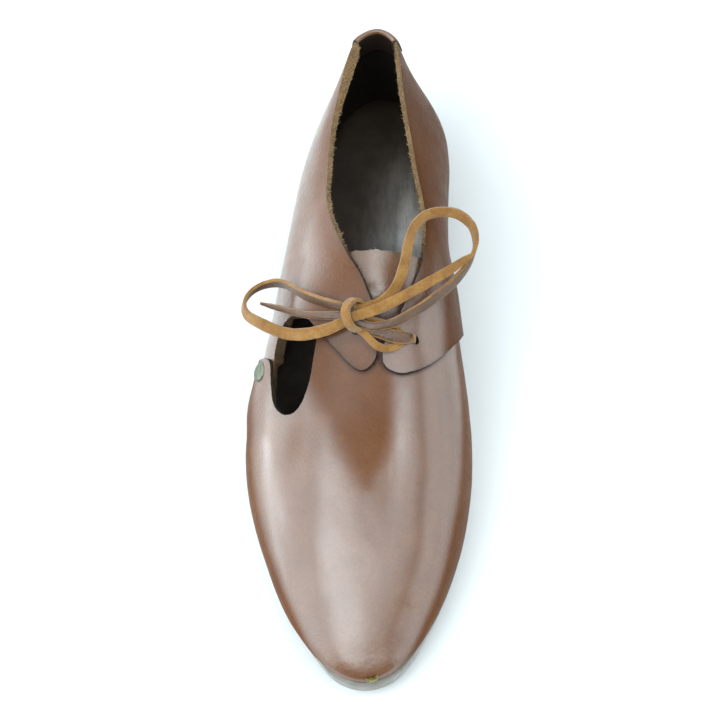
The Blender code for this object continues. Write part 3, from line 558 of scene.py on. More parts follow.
# ---------------------------------------------------------------- materials
class Nodes:
    """Short names for the nodes of one material."""

    def __init__(self, name, **sockets):
        self.mat = bpy.data.materials.new(name)
        self.mat.use_nodes = True
        self.tree = self.mat.node_tree
        self.bsdf = self.tree.nodes["Principled BSDF"]
        for key, value in sockets.items():
            self.bsdf.inputs[key.replace("_", " ")].default_value = value
        self.where = self.tree.nodes.new("ShaderNodeTexCoord").outputs["Object"]

    def node(self, kind, **sockets):
        n = self.tree.nodes.new(kind)
        for key, value in sockets.items():
            self.put(n.inputs[key], value)
        return n

    def put(self, socket, value):
        if isinstance(value, bpy.types.NodeSocket):
            self.tree.links.new(value, socket)
        else:
            socket.default_value = value

    def stretch(self, x, y, z, turn=(0, 0, 0)):
        n = self.tree.nodes.new("ShaderNodeMapping")
        self.tree.links.new(self.where, n.inputs["Vector"])
        n.inputs["Scale"].default_value = (x, y, z)
        n.inputs["Rotation"].default_value = turn
        return n.outputs["Vector"]

    def noise(self, scale, detail=3.0, rough=0.55, vector=None, distortion=0.0):
        n = self.node("ShaderNodeTexNoise", Scale=scale, Detail=detail, Roughness=rough, Distortion=distortion)
        self.tree.links.new(vector or self.where, n.inputs["Vector"])
        return n.outputs["Fac"]

    def cells(self, scale, feature="F1", smooth=0.6, vector=None):
        n = self.tree.nodes.new("ShaderNodeTexVoronoi")
        n.feature = feature
        n.inputs["Scale"].default_value = scale
        if feature == "SMOOTH_F1":
            n.inputs["Smoothness"].default_value = smooth
        self.tree.links.new(vector or self.where, n.inputs["Vector"])
        return n.outputs["Distance"]

    def attr(self, name):
        n = self.tree.nodes.new("ShaderNodeAttribute")
        n.attribute_name = name
        return n.outputs["Fac"]

    def math(self, kind, a, b=0.0):
        n = self.tree.nodes.new("ShaderNodeMath")
        n.operation = kind
        self.put(n.inputs[0], a)
        self.put(n.inputs[1], b)
        return n.outputs[0]

    def span(self, value, a, b, c, d):
        n = self.tree.nodes.new("ShaderNodeMapRange")
        n.interpolation_type = "SMOOTHSTEP"
        self.put(n.inputs["Value"], value)
        for key, v in (("From Min", a), ("From Max", b), ("To Min", c), ("To Max", d)):
            n.inputs[key].default_value = v
        return n.outputs["Result"]

    def ramp(self, fac, stops):
        n = self.tree.nodes.new("ShaderNodeValToRGB")
        self.put(n.inputs["Fac"], fac)
        line = n.color_ramp
        while len(line.elements) < len(stops):
            line.elements.new(0.5)
        for e, (at, colour) in zip(line.elements, stops):
            e.position = at
            e.color = (*colour, 1.0)
        return n.outputs["Color"]

    def mix(self, fac, a, b, kind="MIX"):
        n = self.tree.nodes.new("ShaderNodeMix")
        n.data_type = "RGBA"
        n.blend_type = kind
        self.put(n.inputs[0], fac)
        for socket, value in ((n.inputs[6], a), (n.inputs[7], b)):
            self.put(socket, value if isinstance(value, bpy.types.NodeSocket) else (*value, 1.0))
        return n.outputs[2]

    def bump(self, height, strength, distance, normal=None):
        n = self.node("ShaderNodeBump", Height=height, Strength=strength, Distance=distance)
        if normal is not None:
            self.tree.links.new(normal, n.inputs["Normal"])
        return n.outputs["Normal"]

    def done(self, colour=None, roughness=None, normal=None):
        for key, value in (("Base Color", colour), ("Roughness", roughness), ("Normal", normal)):
            if value is not None:
                self.put(self.bsdf.inputs[key], value)
        return self.mat


def grain_leather(name, deep, mid, pale, rough=(0.27, 0.40), coat=0.40, grain=1.0, shine=0.70):
    """Smooth aniline leather: soft cloudy colour, fine pores, burnished cut edges and a browner feather line; from the
    attributes, a duller finish with painted darker colour, painted shade and painted highlights of stronger specular.
    """
    k = Nodes(name, Coat_IOR=1.75)
    # duller finish: less coat and specular, and further down a darker colour, painted shade standing in for dark
    # reflections
    dull_and_painted_shade = k.attr("dull_and_painted_shade")
    k.put(k.bsdf.inputs["Coat Weight"], k.span(dull_and_painted_shade, 0.0, 1.0, coat, 0.02 * coat))
    # painted highlight: stronger specular and a smoother coat in narrow streaks
    painted_highlight = k.attr("painted_highlight")
    k.put(k.bsdf.inputs["Specular IOR Level"], k.math("ADD", k.span(dull_and_painted_shade, 0.0, 1.0, shine, 0.14 * shine), k.math("MULTIPLY", painted_highlight, 1.2 * shine)))
    k.put(k.bsdf.inputs["Coat Roughness"], k.span(painted_highlight, 0.0, 1.0, 0.27, 0.19))
    cloud = k.math("ADD", k.math("MULTIPLY", k.noise(26, 4, 0.6), 0.62), k.math("MULTIPLY", k.noise(115, 4, 0.62), 0.38))
    colour = k.ramp(cloud, [(0.33, deep), (0.50, mid), (0.68, pale)])
    colour = k.mix(k.span(k.noise(1100, 3, 0.6), 0.35, 0.75, 0.0, 0.50), colour, deep)
    # painted shade: darker colour where the finish is duller
    colour = k.mix(k.math("MULTIPLY", dull_and_painted_shade, 0.30), colour, deep)
    # darker near the cut edges: burnished, and painted shade where the darkening is widened by the cut-out
    colour = k.mix(k.math("MULTIPLY", k.attr("edge"), 0.55), colour, tuple(0.62 * c for c in deep))
    # painted shade: near-black along the lobes' edges, between the lobes and on the shaded medial side
    colour = k.mix(k.math("MULTIPLY", k.attr("painted_shade"), 0.9), colour, tuple(0.16 * c for c in deep))
    colour = k.mix(k.math("MULTIPLY", k.attr("low"), k.span(k.noise(60, 3), 0.3, 0.7, 0.25, 0.65)), colour, tuple(0.8 * c for c in deep))
    scuff = k.span(k.noise(70, 6, 0.7, k.stretch(1, 3.2, 1, (0, 0, 0.5))), 0.62, 0.80, 0.0, 1.0)
    roughness = k.math("ADD", k.span(k.noise(140, 4, 0.6), 0.30, 0.72, *rough), k.math("MULTIPLY", scuff, 0.03))
    pores = k.cells(900, "SMOOTH_F1", 0.5)
    fine = k.noise(2200, 3, 0.6)
    wrinkle = k.noise(310, 5, 0.62, k.stretch(1.0, 1.7, 1.0))
    height = k.math("ADD", k.math("MULTIPLY", pores, 0.8), k.math("ADD", k.math("MULTIPLY", fine, 0.35), k.math("MULTIPLY", wrinkle, 0.9)))
    return k.done(colour, roughness, k.bump(height, 1.06 * grain, 0.00022))


def insole_leather(name, deep, mid, pale):
    """Dark inner sole, worn glossy where the attribute says so and painted paler there, partly wear and partly a
    painted sheen; matt elsewhere.
    """
    k = Nodes(name, Specular_IOR_Level=0.22, Coat_Roughness=0.27, Coat_IOR=1.8)
    cloud = k.math("ADD", k.math("MULTIPLY", k.noise(30, 4, 0.6), 0.6), k.math("MULTIPLY", k.noise(140, 4, 0.62), 0.4))
    colour = k.ramp(cloud, [(0.33, deep), (0.50, mid), (0.68, pale)])
    # worn zone: lower roughness and a coat, and a paler colour that is partly wear and partly a painted sheen
    worn = k.attr("wear_gloss_and_sheen")
    rubbed_and_sheen = k.math("MULTIPLY", worn, k.span(k.noise(85, 6, 0.72, k.stretch(2.6, 0.8, 1.0, (0, 0, 0.5))), 0.30, 0.66, 0.25, 1.0))
    colour = k.mix(k.math("MULTIPLY", rubbed_and_sheen, 0.85), colour, (0.395, 0.314, 0.232))
    roughness = k.math("ADD", k.span(worn, 0.0, 1.0, 0.62, 0.34), k.span(k.noise(160, 4, 0.6), 0.3, 0.7, -0.05, 0.06))
    k.put(k.bsdf.inputs["Coat Weight"], k.span(worn, 0.05, 0.7, 0.0, 1.0))
    height = k.math("ADD", k.cells(1200, "SMOOTH_F1", 0.5), k.noise(420, 5, 0.62))
    return k.done(colour, roughness, k.bump(height, 0.25, 0.0002))


def flesh_leather(name, dark, pale, strength=0.8, burnish_and_painted_shade=None, nap=0.18):
    """Flesh side and raw cut: short matted fibres."""
    k = Nodes(name, Sheen_Weight=nap, Sheen_Roughness=0.6, Specular_IOR_Level=nap)
    fibre = k.noise(900, 5, 0.7, k.stretch(1, 1, 2.6), 1.4)
    cloud = k.noise(150, 4, 0.6)
    mixed = k.math("ADD", k.math("MULTIPLY", fibre, 0.6), k.math("MULTIPLY", cloud, 0.4))
    colour = k.ramp(mixed, [(0.32, dark), (0.62, pale)])
    # where the pale attribute is low the colour is near-black: burnished raw edges, and painted interior shade on the
    # flesh face
    if burnish_and_painted_shade is not None:
        shaded = k.ramp(mixed, [(0.32, tuple(0.45 * c for c in burnish_and_painted_shade)), (0.62, burnish_and_painted_shade)])
        colour = k.mix(k.attr("pale"), shaded, colour)
    height = k.math("ADD", fibre, k.math("MULTIPLY", k.noise(2400, 3, 0.7), 0.6))
    return k.done(colour, k.span(fibre, 0.3, 0.7, 0.95, 0.78), k.bump(height, strength, 0.0004))


def worn_metal(name, base, tarnish, rough=(0.28, 0.55)):
    k = Nodes(name, Metallic=1.0)
    patch = k.noise(420, 5, 0.65)
    colour = k.ramp(patch, [(0.36, tarnish), (0.56, base)])
    height = k.math("ADD", k.noise(800, 4, 0.6), k.math("MULTIPLY", k.cells(700, "SMOOTH_F1", 0.4), 0.6))
    return k.done(colour, k.span(k.noise(600, 4, 0.6), 0.3, 0.7, *rough), k.bump(height, 0.35, 0.00016))


def stacked_leather(name, dark, pale, stripes, rough=(0.5, 0.72)):
    """Edge of sole leather: thin compressed layers, trimmed and inked."""
    k = Nodes(name, Coat_Weight=0.08, Coat_Roughness=0.4)
    layer = k.noise(stripes, 4, 0.65, k.stretch(0.09, 0.09, 1.0))
    cloud = k.noise(120, 4, 0.6)
    colour = k.ramp(k.math("ADD", k.math("MULTIPLY", layer, 0.65), k.math("MULTIPLY", cloud, 0.35)), [(0.35, dark), (0.65, pale)])
    height = k.math("ADD", layer, k.math("MULTIPLY", k.noise(1300, 3, 0.6), 0.4))
    return k.done(colour, k.span(k.noise(260, 4), 0.3, 0.7, *rough), k.bump(height, 0.45, 0.0003))


def tread_leather(name, dark, pale):
    """Underside: flat leather, scuffed along the foot and darker where it is worn."""
    k = Nodes(name)
    streak = k.noise(140, 6, 0.7, k.stretch(3.0, 0.7, 1.0))
    cloud = k.noise(34, 4, 0.6)
    colour = k.ramp(k.math("ADD", k.math("MULTIPLY", streak, 0.45), k.math("MULTIPLY", cloud, 0.55)), [(0.34, dark), (0.64, pale)])
    height = k.math("ADD", streak, k.math("MULTIPLY", k.noise(1100, 4, 0.6), 0.6))
    return k.done(colour, k.span(cloud, 0.3, 0.7, 0.62, 0.85), k.bump(height, 0.5, 0.00035))


def suede_thong(name, dark, mid, pale):
    k = Nodes(name, Sheen_Weight=0.35, Sheen_Roughness=0.5, Specular_IOR_Level=0.2)
    nap = k.noise(1100, 5, 0.72, None, 1.1)
    cloud = k.noise(170, 4, 0.62)
    colour = k.ramp(k.math("ADD", k.math("MULTIPLY", nap, 0.52), k.math("MULTIPLY", cloud, 0.48)), [(0.30, dark), (0.5, mid), (0.70, pale)])
    height = k.math("ADD", nap, k.math("MULTIPLY", k.noise(2800, 3, 0.7), 0.5))
    return k.done(colour, k.span(nap, 0.3, 0.7, 0.95, 0.8), k.bump(height, 0.85, 0.00045))


M_GRAIN = grain_leather("leather_grain", (0.110, 0.036, 0.0095), (0.149, 0.051, 0.0140), (0.184, 0.068, 0.0205), (0.38, 0.50), 1.0, 1.0, 0.50)
# flesh face of the upper: tan by the cuts, near-black further in, a painted interior shade
M_FLESH = flesh_leather("leather_flesh", (0.100, 0.060, 0.022), (0.250, 0.155, 0.066), 0.8, (0.016, 0.011, 0.007), 0.02)
# raw cuts: tan round the collar and the cut-out, near-black elsewhere, a burnished edge that also paints the lobes'
# shadow line
M_RAW = flesh_leather("leather_raw_edge", (0.085, 0.046, 0.018), (0.275, 0.165, 0.074), 1.0, (0.022, 0.012, 0.007), 0.05)
M_FIBRE = flesh_leather("leather_fibre", (0.200, 0.120, 0.056), (0.440, 0.300, 0.165), 0.6, None, 0.15)
# tongue: a lighter, less saturated copy of the grain leather, painted light standing in for light on the shaded tongue
M_TONGUE_LIGHTENED = grain_leather("tongue_grain_lightened", (0.132, 0.051, 0.017), (0.164, 0.067, 0.024), (0.192, 0.082, 0.032), (0.34, 0.46), 1.0, 1.0, 0.50)
M_INSOLE = insole_leather("insole_leather", (0.020, 0.012, 0.008), (0.034, 0.022, 0.014), (0.052, 0.034, 0.023))
M_LINING = tread_leather("sole_lining", (0.012, 0.008, 0.006), (0.024, 0.016, 0.011))
# inner face of the heel tab: a near-black copy of the grain leather, painted shade
M_TAB_INNER_SHADE = grain_leather("tab_inner_painted_shade", (0.014, 0.008, 0.006), (0.022, 0.013, 0.009), (0.034, 0.020, 0.014), (0.5, 0.65), 0.02, 1.0, 0.2)
# sole edge: pale grey, partly leather colour and partly painted bounce light from the floor
M_SOLE_EDGE_LIGHTENED = stacked_leather("sole_edge_lightened", (0.240, 0.225, 0.200), (0.420, 0.400, 0.365), 900)
M_TREAD = tread_leather("sole_tread", (0.100, 0.060, 0.034), (0.200, 0.130, 0.080))
M_HEEL = stacked_leather("heel_stack", (0.040, 0.021, 0.012), (0.095, 0.052, 0.030), 700)
M_RIVET = worn_metal("rivet_metal", (0.225, 0.229, 0.182), (0.128, 0.140, 0.104), (0.46, 0.62))
M_TACK = worn_metal("tack_brass", (0.38, 0.31, 0.11), (0.15, 0.13, 0.05))
M_SUEDE = suede_thong("thong_suede", (0.170, 0.068, 0.014), (0.312, 0.145, 0.034), (0.450, 0.243, 0.074))
M_THONG = grain_leather("thong_grain", (0.068, 0.027, 0.009), (0.110, 0.047, 0.018), (0.155, 0.073, 0.031), (0.36, 0.50), 0.15, 1.0, 0.5)

# ---------------------------------------------------------------- vamp and quarters: cut lines as (rib, share) rows
WING_LIFT = 1.55           # the vamp's wing lies over the quarter at the lateral side
LOBE_LIFT = 2.15           # the quarters' front lies over the vamp elsewhere
# vamp, lateral: rear edge of the wing, its corner by the rivet, the slit, the cut-out, then hidden under the lobe
VAMP_LATERAL = [
    (10.14, 0.00), (10.18, 0.08), (10.22, 0.17), (10.23, 0.26), (10.17, 0.33), (10.09, 0.39), (10.01, 0.432),
    (9.91, 0.461), (9.76, 0.479), (9.55, 0.489), (9.35, 0.497), (9.15, 0.503), (8.97, 0.508), (8.80, 0.516),
    (8.66, 0.530), (8.54, 0.550), (8.46, 0.577), (8.43, 0.606), (8.47, 0.632), (8.56, 0.653), (8.70, 0.672),
    (8.87, 0.687), (9.10, 0.702), (9.32, 0.713), (9.60, 0.724), (9.86, 0.735), (10.10, 0.744), (10.32, 0.758), (10.46, 0.795), (10.44, 0.85),
    (10.32, 0.91), (10.12, 0.965), (9.95, 1.00),
]
# vamp, medial: hidden under the quarter
VAMP_MEDIAL = [
    (-9.95, 1.00), (-10.12, 0.965), (-10.4, 0.91), (-10.65, 0.84), (-10.9, 0.74), (-11.2, 0.60), (-11.5, 0.45),
    (-11.8, 0.30), (-12.0, 0.16), (-12.05, 0.00),
]
# quarters: medial front edge from the feather, medial lobe, facing, collar round the heel, lateral facing and lobe
FRONT_MEDIAL = [
    (26.65, 0.00), (26.80, 0.08), (27.00, 0.18), (27.30, 0.335), (27.56, 0.44), (27.78, 0.525), (28.00, 0.594),
    (28.20, 0.655), (28.38, 0.712), (28.53, 0.762), (28.66, 0.815), (28.76, 0.865), (28.81, 0.905), (28.80, 0.940),
    (28.73, 0.974), (28.60, 0.993),
]
FACING_MEDIAL = [
    (28.44, 0.993), (28.28, 0.988), (28.05, 0.970), (27.75, 0.945), (27.50, 0.920), (27.25, 0.900), (27.00, 0.882),
    (26.75, 0.872), (26.30, 0.867), (25.85, 0.878), (25.45, 0.908), (25.10, 0.944), (24.75, 0.970), (24.30, 0.986),
    (23.70, 0.997), (23.20, 1.000),
]
COLLAR_BACK = [(23.2 - 0.6 * i, 1.0) for i in range(20)]
FACING_LATERAL = [
    (11.70, 1.000), (11.40, 0.993), (11.10, 0.985), (10.85, 0.988), (10.60, 0.992), (10.30, 0.992), (10.00, 0.990),
    (9.75, 0.990),
]
FRONT_LATERAL = [
    (9.58, 0.985), (9.44, 0.974), (9.33, 0.959), (9.26, 0.942), (9.24, 0.922), (9.33, 0.898), (9.46, 0.878),
    (9.64, 0.855), (9.82, 0.830), (10.00, 0.804), (10.17, 0.778), (10.35, 0.750),
]
CUT_LATERAL = [
    (10.50, 0.725), (10.64, 0.695), (10.73, 0.655), (10.78, 0.615), (10.77, 0.575), (10.68, 0.543), (10.52, 0.512),
    (10.36, 0.494), (10.20, 0.483), (10.03, 0.480), (9.82, 0.489), (9.60, 0.493), (9.38, 0.492), (9.16, 0.494), (8.96, 0.498),
    (8.82, 0.480), (8.78, 0.40), (8.90, 0.29), (9.28, 0.16), (9.75, 0.06), (9.95, 0.00),
]
LACE_AT = {"lateral": (10.15, 0.924), "medial": (28.00, 0.830)}
# creases: rows of (rib, share), depth and width in millimetres, in the order of walking folds from the medial ball
CREASES = [
    ([(-6.62, 0.925), (-6.58, 0.86), (-6.56, 0.78), (-6.62, 0.68), (-6.74, 0.57), (-6.92, 0.45)], 0.09, 0.95),
    ([(-6.40, 0.90), (-6.36, 0.82), (-6.42, 0.72), (-6.56, 0.60), (-6.72, 0.50)], 0.055, 0.80),
    ([(-7.05, 0.955), (-6.80, 0.950), (-6.55, 0.945), (-6.35, 0.945)], 0.09, 0.55),
    ([(-6.05, 0.80), (-6.10, 0.70), (-6.25, 0.58)], 0.06, 0.9),
]
STEP = 0.5


def creases(points):
    """Soft troughs with a low ridge on each side, fading to their ends."""
    d = np.zeros(len(points))
    for rows, depth, width in CREASES:
        line = spline(np.array(rows), np.linspace(0, len(rows) - 1, 60))
        at = on_last(line[:, 0], line[:, 1])
        tree = KDTree(len(at))
        for i, p in enumerate(at):
            tree.insert(p, i)
        tree.balance()
        box_low, box_high = at.min(axis=0) - 5 * width, at.max(axis=0) + 5 * width
        near = np.flatnonzero(((points > box_low) & (points < box_high)).all(axis=1))
        for i in near:
            _, j, far = tree.find(points[i])
            fade = math.sin(math.pi * (j + 0.5) / len(at)) ** 0.6
            x = far / width
            d[i] += depth * fade * (0.45 * math.exp(-((x - 2.1) / 0.9) ** 2) - math.exp(-x * x))
    return d


def waves(points, seed):
    """Slight unevenness of leather stretched over the last."""
    return 0.26 * noise_at(points, 0.045, seed) + 0.075 * noise_at(points, 0.14, seed + 5) + 0.02 * noise_at(points, 0.4, seed + 9)


def line_of(rows):
    p = spline(np.array(rows), np.linspace(0, len(rows) - 1, 14 * len(rows)))
    return on_last(p[:, 0], np.clip(p[:, 1], 0, 1))


def vamp_lift(s, r, base):
    lateral = (s > 0).astype(float)
    wing = WING_LIFT * lateral * ease(8.30, 9.25, s) * (1 - ease(0.50, 0.60, r)) * (0.22 + 0.78 * ease(0.0, 0.13, r))
    under = -0.7 * (1 - lateral) * ease(10.9, 11.4, -s) * (1 - ease(0.0, 0.14, r))
    full = 2.6 * np.exp(-((s + 2.6) / 2.3) ** 2) * (1 - ease(0.10, 0.55, r))
    return wing + under + full + (waves(base, 2.0) + creases(base)) * ease(0.0, 0.12, r)


def quarter_lift(s, r, base):
    medial = nearest(base, line_of(FRONT_MEDIAL))
    lobe = nearest(base, line_of(FRONT_LATERAL))
    lift = LOBE_LIFT * np.maximum((1 - ease(14, 40, medial)) * (s > RIBS), (1 - ease(13, 36, lobe)) * (s < RIBS))
    lift = lift * (0.3 + 0.7 * ease(0.0, 0.13, r))
    tips = 0.45 * np.exp(-np.minimum(medial, lobe) / 5.0) * ease(0.55, 0.8, r)
    under_wing = -0.60 * (1 - ease(10.15, 10.75, s)) * (1 - ease(0.49, 0.58, r)) * (s < RIBS)
    return lift + tips + under_wing + waves(base, 9.0) * ease(0.0, 0.12, r)


def vamp_thick(s, r):
    return np.full(len(s), WALL)


def vamp_flesh(s, r):
    return np.full(len(s), 0.05)


def vamp_pale(s, r):
    return 0.10 + 0.25 * ease(8.9, 9.5, s) * ease(0.62, 0.70, r)


def vamp_burnish_and_shade(s, r):
    """Near the cut-out the darkening of the edge spreads wide over the instep side: a burnished edge, and painted shade
    where the instep curves away into the cut-out.
    """
    return 1.5 + 4.5 * ease(8.2, 8.8, s) * (1 - ease(0.80, 0.90, r)) * ease(0.56, 0.66, r)


def vamp_tone(base, s, r):
    """Duller finish with painted darker colour in a wedge over the instep that closes towards the toe, below the
    cut-out and along the bottom band, standing in for dark reflections; painted shade along the lobes' edges, between
    the lobes and low on the medial side; painted highlight streaks of stronger specular.
    """
    x, y = base[:, 0], base[:, 1]
    t = np.clip((y + 74.0) / 54.0, 0.0, 1.3)
    left, right = 1.5 - 27.5 * t, 11.0 * ease(-72.0, -36.0, y)
    # painted dark reflection: a duller, darker wedge over the instep
    dull_and_painted_shade = 0.76 * ease(-8.0, 8.0, x - left) * ease(-6.0, 5.0, right - x) * ease(-82.0, -52.0, y)
    # a smaller painted dark reflection below the cut-out
    end = np.exp(-((x + 31.5 - 0.15 * (y + 40.0)) / 5.5) ** 2 - ((y + 40.0) / 15.0) ** 2)
    dull_and_painted_shade = np.maximum(dull_and_painted_shade, 0.42 * end)
    # duller, darker bottom band, a painted dark reflection near the sole
    dull_and_painted_shade = np.maximum(dull_and_painted_shade, 0.95 * (1 - ease(0.10 + 0.17 * ease(1.0, 4.0, abs(s)) + 0.11 * ease(3.5, 6.0, -s), 0.26 + 0.17 * ease(1.0, 4.0, abs(s)) + 0.10 * ease(3.5, 6.0, -s), r)))
    # painted highlight streaks on the medial instep and low on the lateral side
    painted_highlight = np.exp(-((x - 15.2) / 2.6) ** 2) * ease(-60.0, -48.0, y) * (1 - ease(-24.0, -16.0, y))
    painted_highlight = np.maximum(painted_highlight, np.exp(-((x + 44.3 - 0.215 * (-33.0 - y)) / 2.6) ** 2) * ease(-80.0, -66.0, y) * (1 - ease(-38.0, -30.0, y)))
    # painted shade along the lobes' edges
    painted_shade = np.zeros(len(s))
    for rows in (FRONT_MEDIAL, FRONT_LATERAL):
        painted_shade = np.maximum(painted_shade, 0.95 * np.exp(-(nearest(base, line_of(rows)) / 1.5) ** 2))
    # painted shade in the slot between the lobes
    gap = np.exp(-((x - 7.5) / 2.2) ** 2) * ease(-14.5, -10.0, y)
    # painted shade low on the medial side
    medial_edge_shade = 0.30 * ease(2.0, 6.0, -s) * (1 - ease(0.10, 0.42, r))
    painted_shade = np.maximum(painted_shade * ease(0.45, 0.6, r), gap)
    return np.maximum(dull_and_painted_shade, painted_shade), np.maximum(painted_shade, medial_edge_shade), painted_highlight


def quarter_tone(base, s, r):
    """The lateral lobe, the lateral collar by the throat, the bottom band and the medial side have a duller finish with
    a painted darker colour, standing in for dark reflections and shade; painted shade also lies on the medial side and
    on the lateral lobe under the bow.
    """
    lobe = (1 - ease(10.4, 13.0, s)) * ease(0.55, 0.76, r)
    inside = (s > RIBS) * (1 - ease(25.2, 27.6, s) * ease(0.56, 0.72, r)) * ease(18.6, 20.2, s)
    collar = 0.60 * ease(0.60, 0.95, r) * (s < RIBS) * ease(10.0, 11.5, s)
    low = 0.9 * (1 - ease(0.03, 0.32, r))
    return np.maximum(np.maximum(0.70 * lobe, low), np.maximum(collar, 0.95 * inside)), np.maximum(0.30 * inside, 0.25 * (1 - ease(10.0, 10.9, s)) * ease(0.68, 0.76, r) * (1 - ease(0.84, 0.92, r))), np.zeros(len(s))


def quarter_thick(s, r):
    """Skived under the heel tab; spread by wear at the lateral heel and over the cut-out."""
    skived = -0.8 * (1 - ease(1.15, 1.9, abs(s - RIBS))) * ease(0.55, 0.80, r)
    heel = 2.3 * ease(14.6, 17.0, s) * (1 - ease(17.75, 18.05, s)) * ease(0.925, 1.0, r) ** 2
    cut = 1.7 * ease(9.74, 9.86, s) * (1 - ease(10.70, 10.85, s)) * (1 - ease(0.485, 0.60, r)) * ease(0.40, 0.47, r)
    return WALL + skived + heel + cut


def quarter_flesh(s, r):
    """The flesh side stands out most by the lateral heel and along the top of the cut-out."""
    heel = 0.9 * ease(15.6, 17.4, s) * (1 - ease(17.9, 18.3, s)) * ease(0.9, 0.98, r)
    cut = 1.9 * ease(9.76, 9.92, s) * (1 - ease(10.7, 10.85, s)) * (1 - ease(0.60, 0.68, r)) * ease(0.40, 0.46, r)
    below = -0.5 * (1 - ease(9.70, 9.80, s)) * (1 - ease(0.55, 0.62, r))
    collar = 0.42 * ease(0.85, 0.92, r) * ease(11.0, 12.5, s) * (1 - ease(24.5, 26.0, s))
    return 0.08 + heel + cut + below + collar


def quarter_pale(s, r):
    """Light raw leather round the collar and the cut-out; dark on the lobes, a burnished edge that also paints their
    shadow line.
    """
    collar = ease(11.2, 13.0, s) * (1 - ease(25.2, 26.4, s))
    cut = ease(8.6, 9.1, s) * (1 - ease(10.75, 11.0, s)) * (1 - ease(0.62, 0.72, r))
    return np.maximum(0.12, np.maximum(collar, 0.24 * cut))


def lace_hole(side, grow=0.0):
    rib_at, share_at = LACE_AT[side]
    return round_hole(rib_at, share_at, (1.75 if side == "lateral" else 2.1) + grow, 0.82, 0.5 if side == "lateral" else -0.5)


def lace_hole_vamp(side):
    hole = lace_hole(side)
    if side == "medial":
        hole = hole - [RING * SU, 0]
    return hole


ridge = np.column_stack([np.linspace(9.95, -9.95, 399), np.ones(399)]) * [SU, SV]
vamp_loop = loop_of(straight((-12.05, 0), (10.14, 0), 380), trace(VAMP_LATERAL, STEP, 0.16, 4.0), ridge, trace(VAMP_MEDIAL, 1.0))
vamp, vamp_rim = cut_leather("vamp", [vamp_loop, lace_hole_vamp("lateral"), lace_hole_vamp("medial")], 1.12, vamp_thick, vamp_lift,
                             [M_GRAIN, M_FLESH, M_RAW], joined=True, flesh=vamp_flesh, pale=vamp_pale, burnish_and_painted_shade=vamp_burnish_and_shade, tone=vamp_tone, seed=3.0, replaces=("upper",), slot="upper_leather")
collar_edge = FACING_MEDIAL + COLLAR_BACK[1:-1] + FACING_LATERAL + FRONT_LATERAL[:1]
quarter_loop = loop_of(straight((9.95, 0), (26.65, 0), 290), trace(FRONT_MEDIAL + FACING_MEDIAL[:1], STEP, 0.14, 8.0), trace(collar_edge, STEP, 0.42, 8.0),
                       trace(FRONT_LATERAL + CUT_LATERAL[:1], STEP, 0.14, 8.0), trace(CUT_LATERAL, STEP, 0.42, 8.0))
quarter, quarter_rim = cut_leather("quarters", [quarter_loop, lace_hole("lateral"), lace_hole("medial")], 1.12, quarter_thick, quarter_lift,
                                   [M_GRAIN, M_FLESH, M_RAW], flesh=quarter_flesh, pale=quarter_pale, tone=quarter_tone, seed=6.0,
                                   replaces=("upper", "lobe_lateral", "lobe_medial"), slot="upper_leather")

# ---------------------------------------------------------------- tongue
def build_tongue():
    """Leaf that bridges the throat just inside the quarters; its top is a raw cut."""
    rows, cols = 64, 73
    across = np.linspace(0, 1, cols)
    top = 11.93 - 0.10 * (1 - ease(0.0, 0.30, across)) + 0.030 * noise_at(np.column_stack([across * 40, np.zeros(cols), np.zeros(cols)]), 0.5, 5.0) \
        + 0.022 * noise_at(np.column_stack([across * 40, np.zeros(cols), np.zeros(cols)]), 1.5, 9.0)
    mid = np.zeros((rows, cols, 3))
    for i, f in enumerate(np.linspace(0, 1, rows)):
        k = 9.55 + (top - 9.55) * f
        depth = WALL + GAP + 0.35 + TONGUE_T / 2 + 2.0 * (1 - ease(10.2, 11.2, k))
        ends = []
        for lateral, share in ((True, 0.84), (False, 0.74)):
            s = k if lateral else RING - k
            share = share - 0.10 * ease(11.0, 12.0, k) * (1 if lateral else 0.3)
            p = offset_last(s, share, -depth)
            q = offset_last(s, share + 0.02, -depth)
            ends.append((p, unit(q - p)))
        (a, ta), (b, tb) = ends
        reach = np.linalg.norm(b - a, axis=-1, keepdims=True) * 0.95
        g = across[:, None]
        mid[i] = ((2 * g ** 3 - 3 * g ** 2 + 1) * a + (g ** 3 - 2 * g ** 2 + g) * reach * ta
                  + (3 * g ** 2 - 2 * g ** 3) * b - (g ** 3 - g ** 2) * reach * tb)
        mid[i, :, 1] += 3.0 * ease(11.2, 12.05, k) * np.sin(np.pi * across) ** 0.8
        mid[i, :, 2] += ease(10.4, 11.4, k) * (1.0 * np.exp(-((across - 0.36) / 0.22) ** 2) - 1.8 * np.exp(-((across - 0.74) / 0.16) ** 2))
    n = unit(np.cross(np.gradient(mid, axis=1), np.gradient(mid, axis=0)))
    n *= np.sign(n[..., 2:3])
    soft = 0.25 * noise_at(mid.reshape(-1, 3), 0.09, 2.0).reshape(rows, cols, 1)
    outer = mid + n * (TONGUE_T / 2 + soft)
    inner = mid - n * (TONGUE_T / 2 - soft)
    inner[-1] += 0.35 * unit(mid[-1] - mid[-2])
    points, faces, mat = grid_slab(outer, inner)
    worn = np.exp(-(1 - np.linspace(0, 1, rows)) * 45 / 1.3)[:, None] * np.ones(cols)
    attrs = {"edge": np.tile(worn.ravel(), 2), "low": np.zeros(2 * rows * cols), "pale": np.full(2 * rows * cols, 0.75)}
    add_piece("tongue_leaf", points, faces, [M_TONGUE_LIGHTENED, M_FLESH, M_RAW], mat, attrs, replaces=("tongue",), slot="tongue_leather")
    return outer[-1], unit(mid[-1] - mid[-2])


tongue_top, tongue_out = build_tongue()


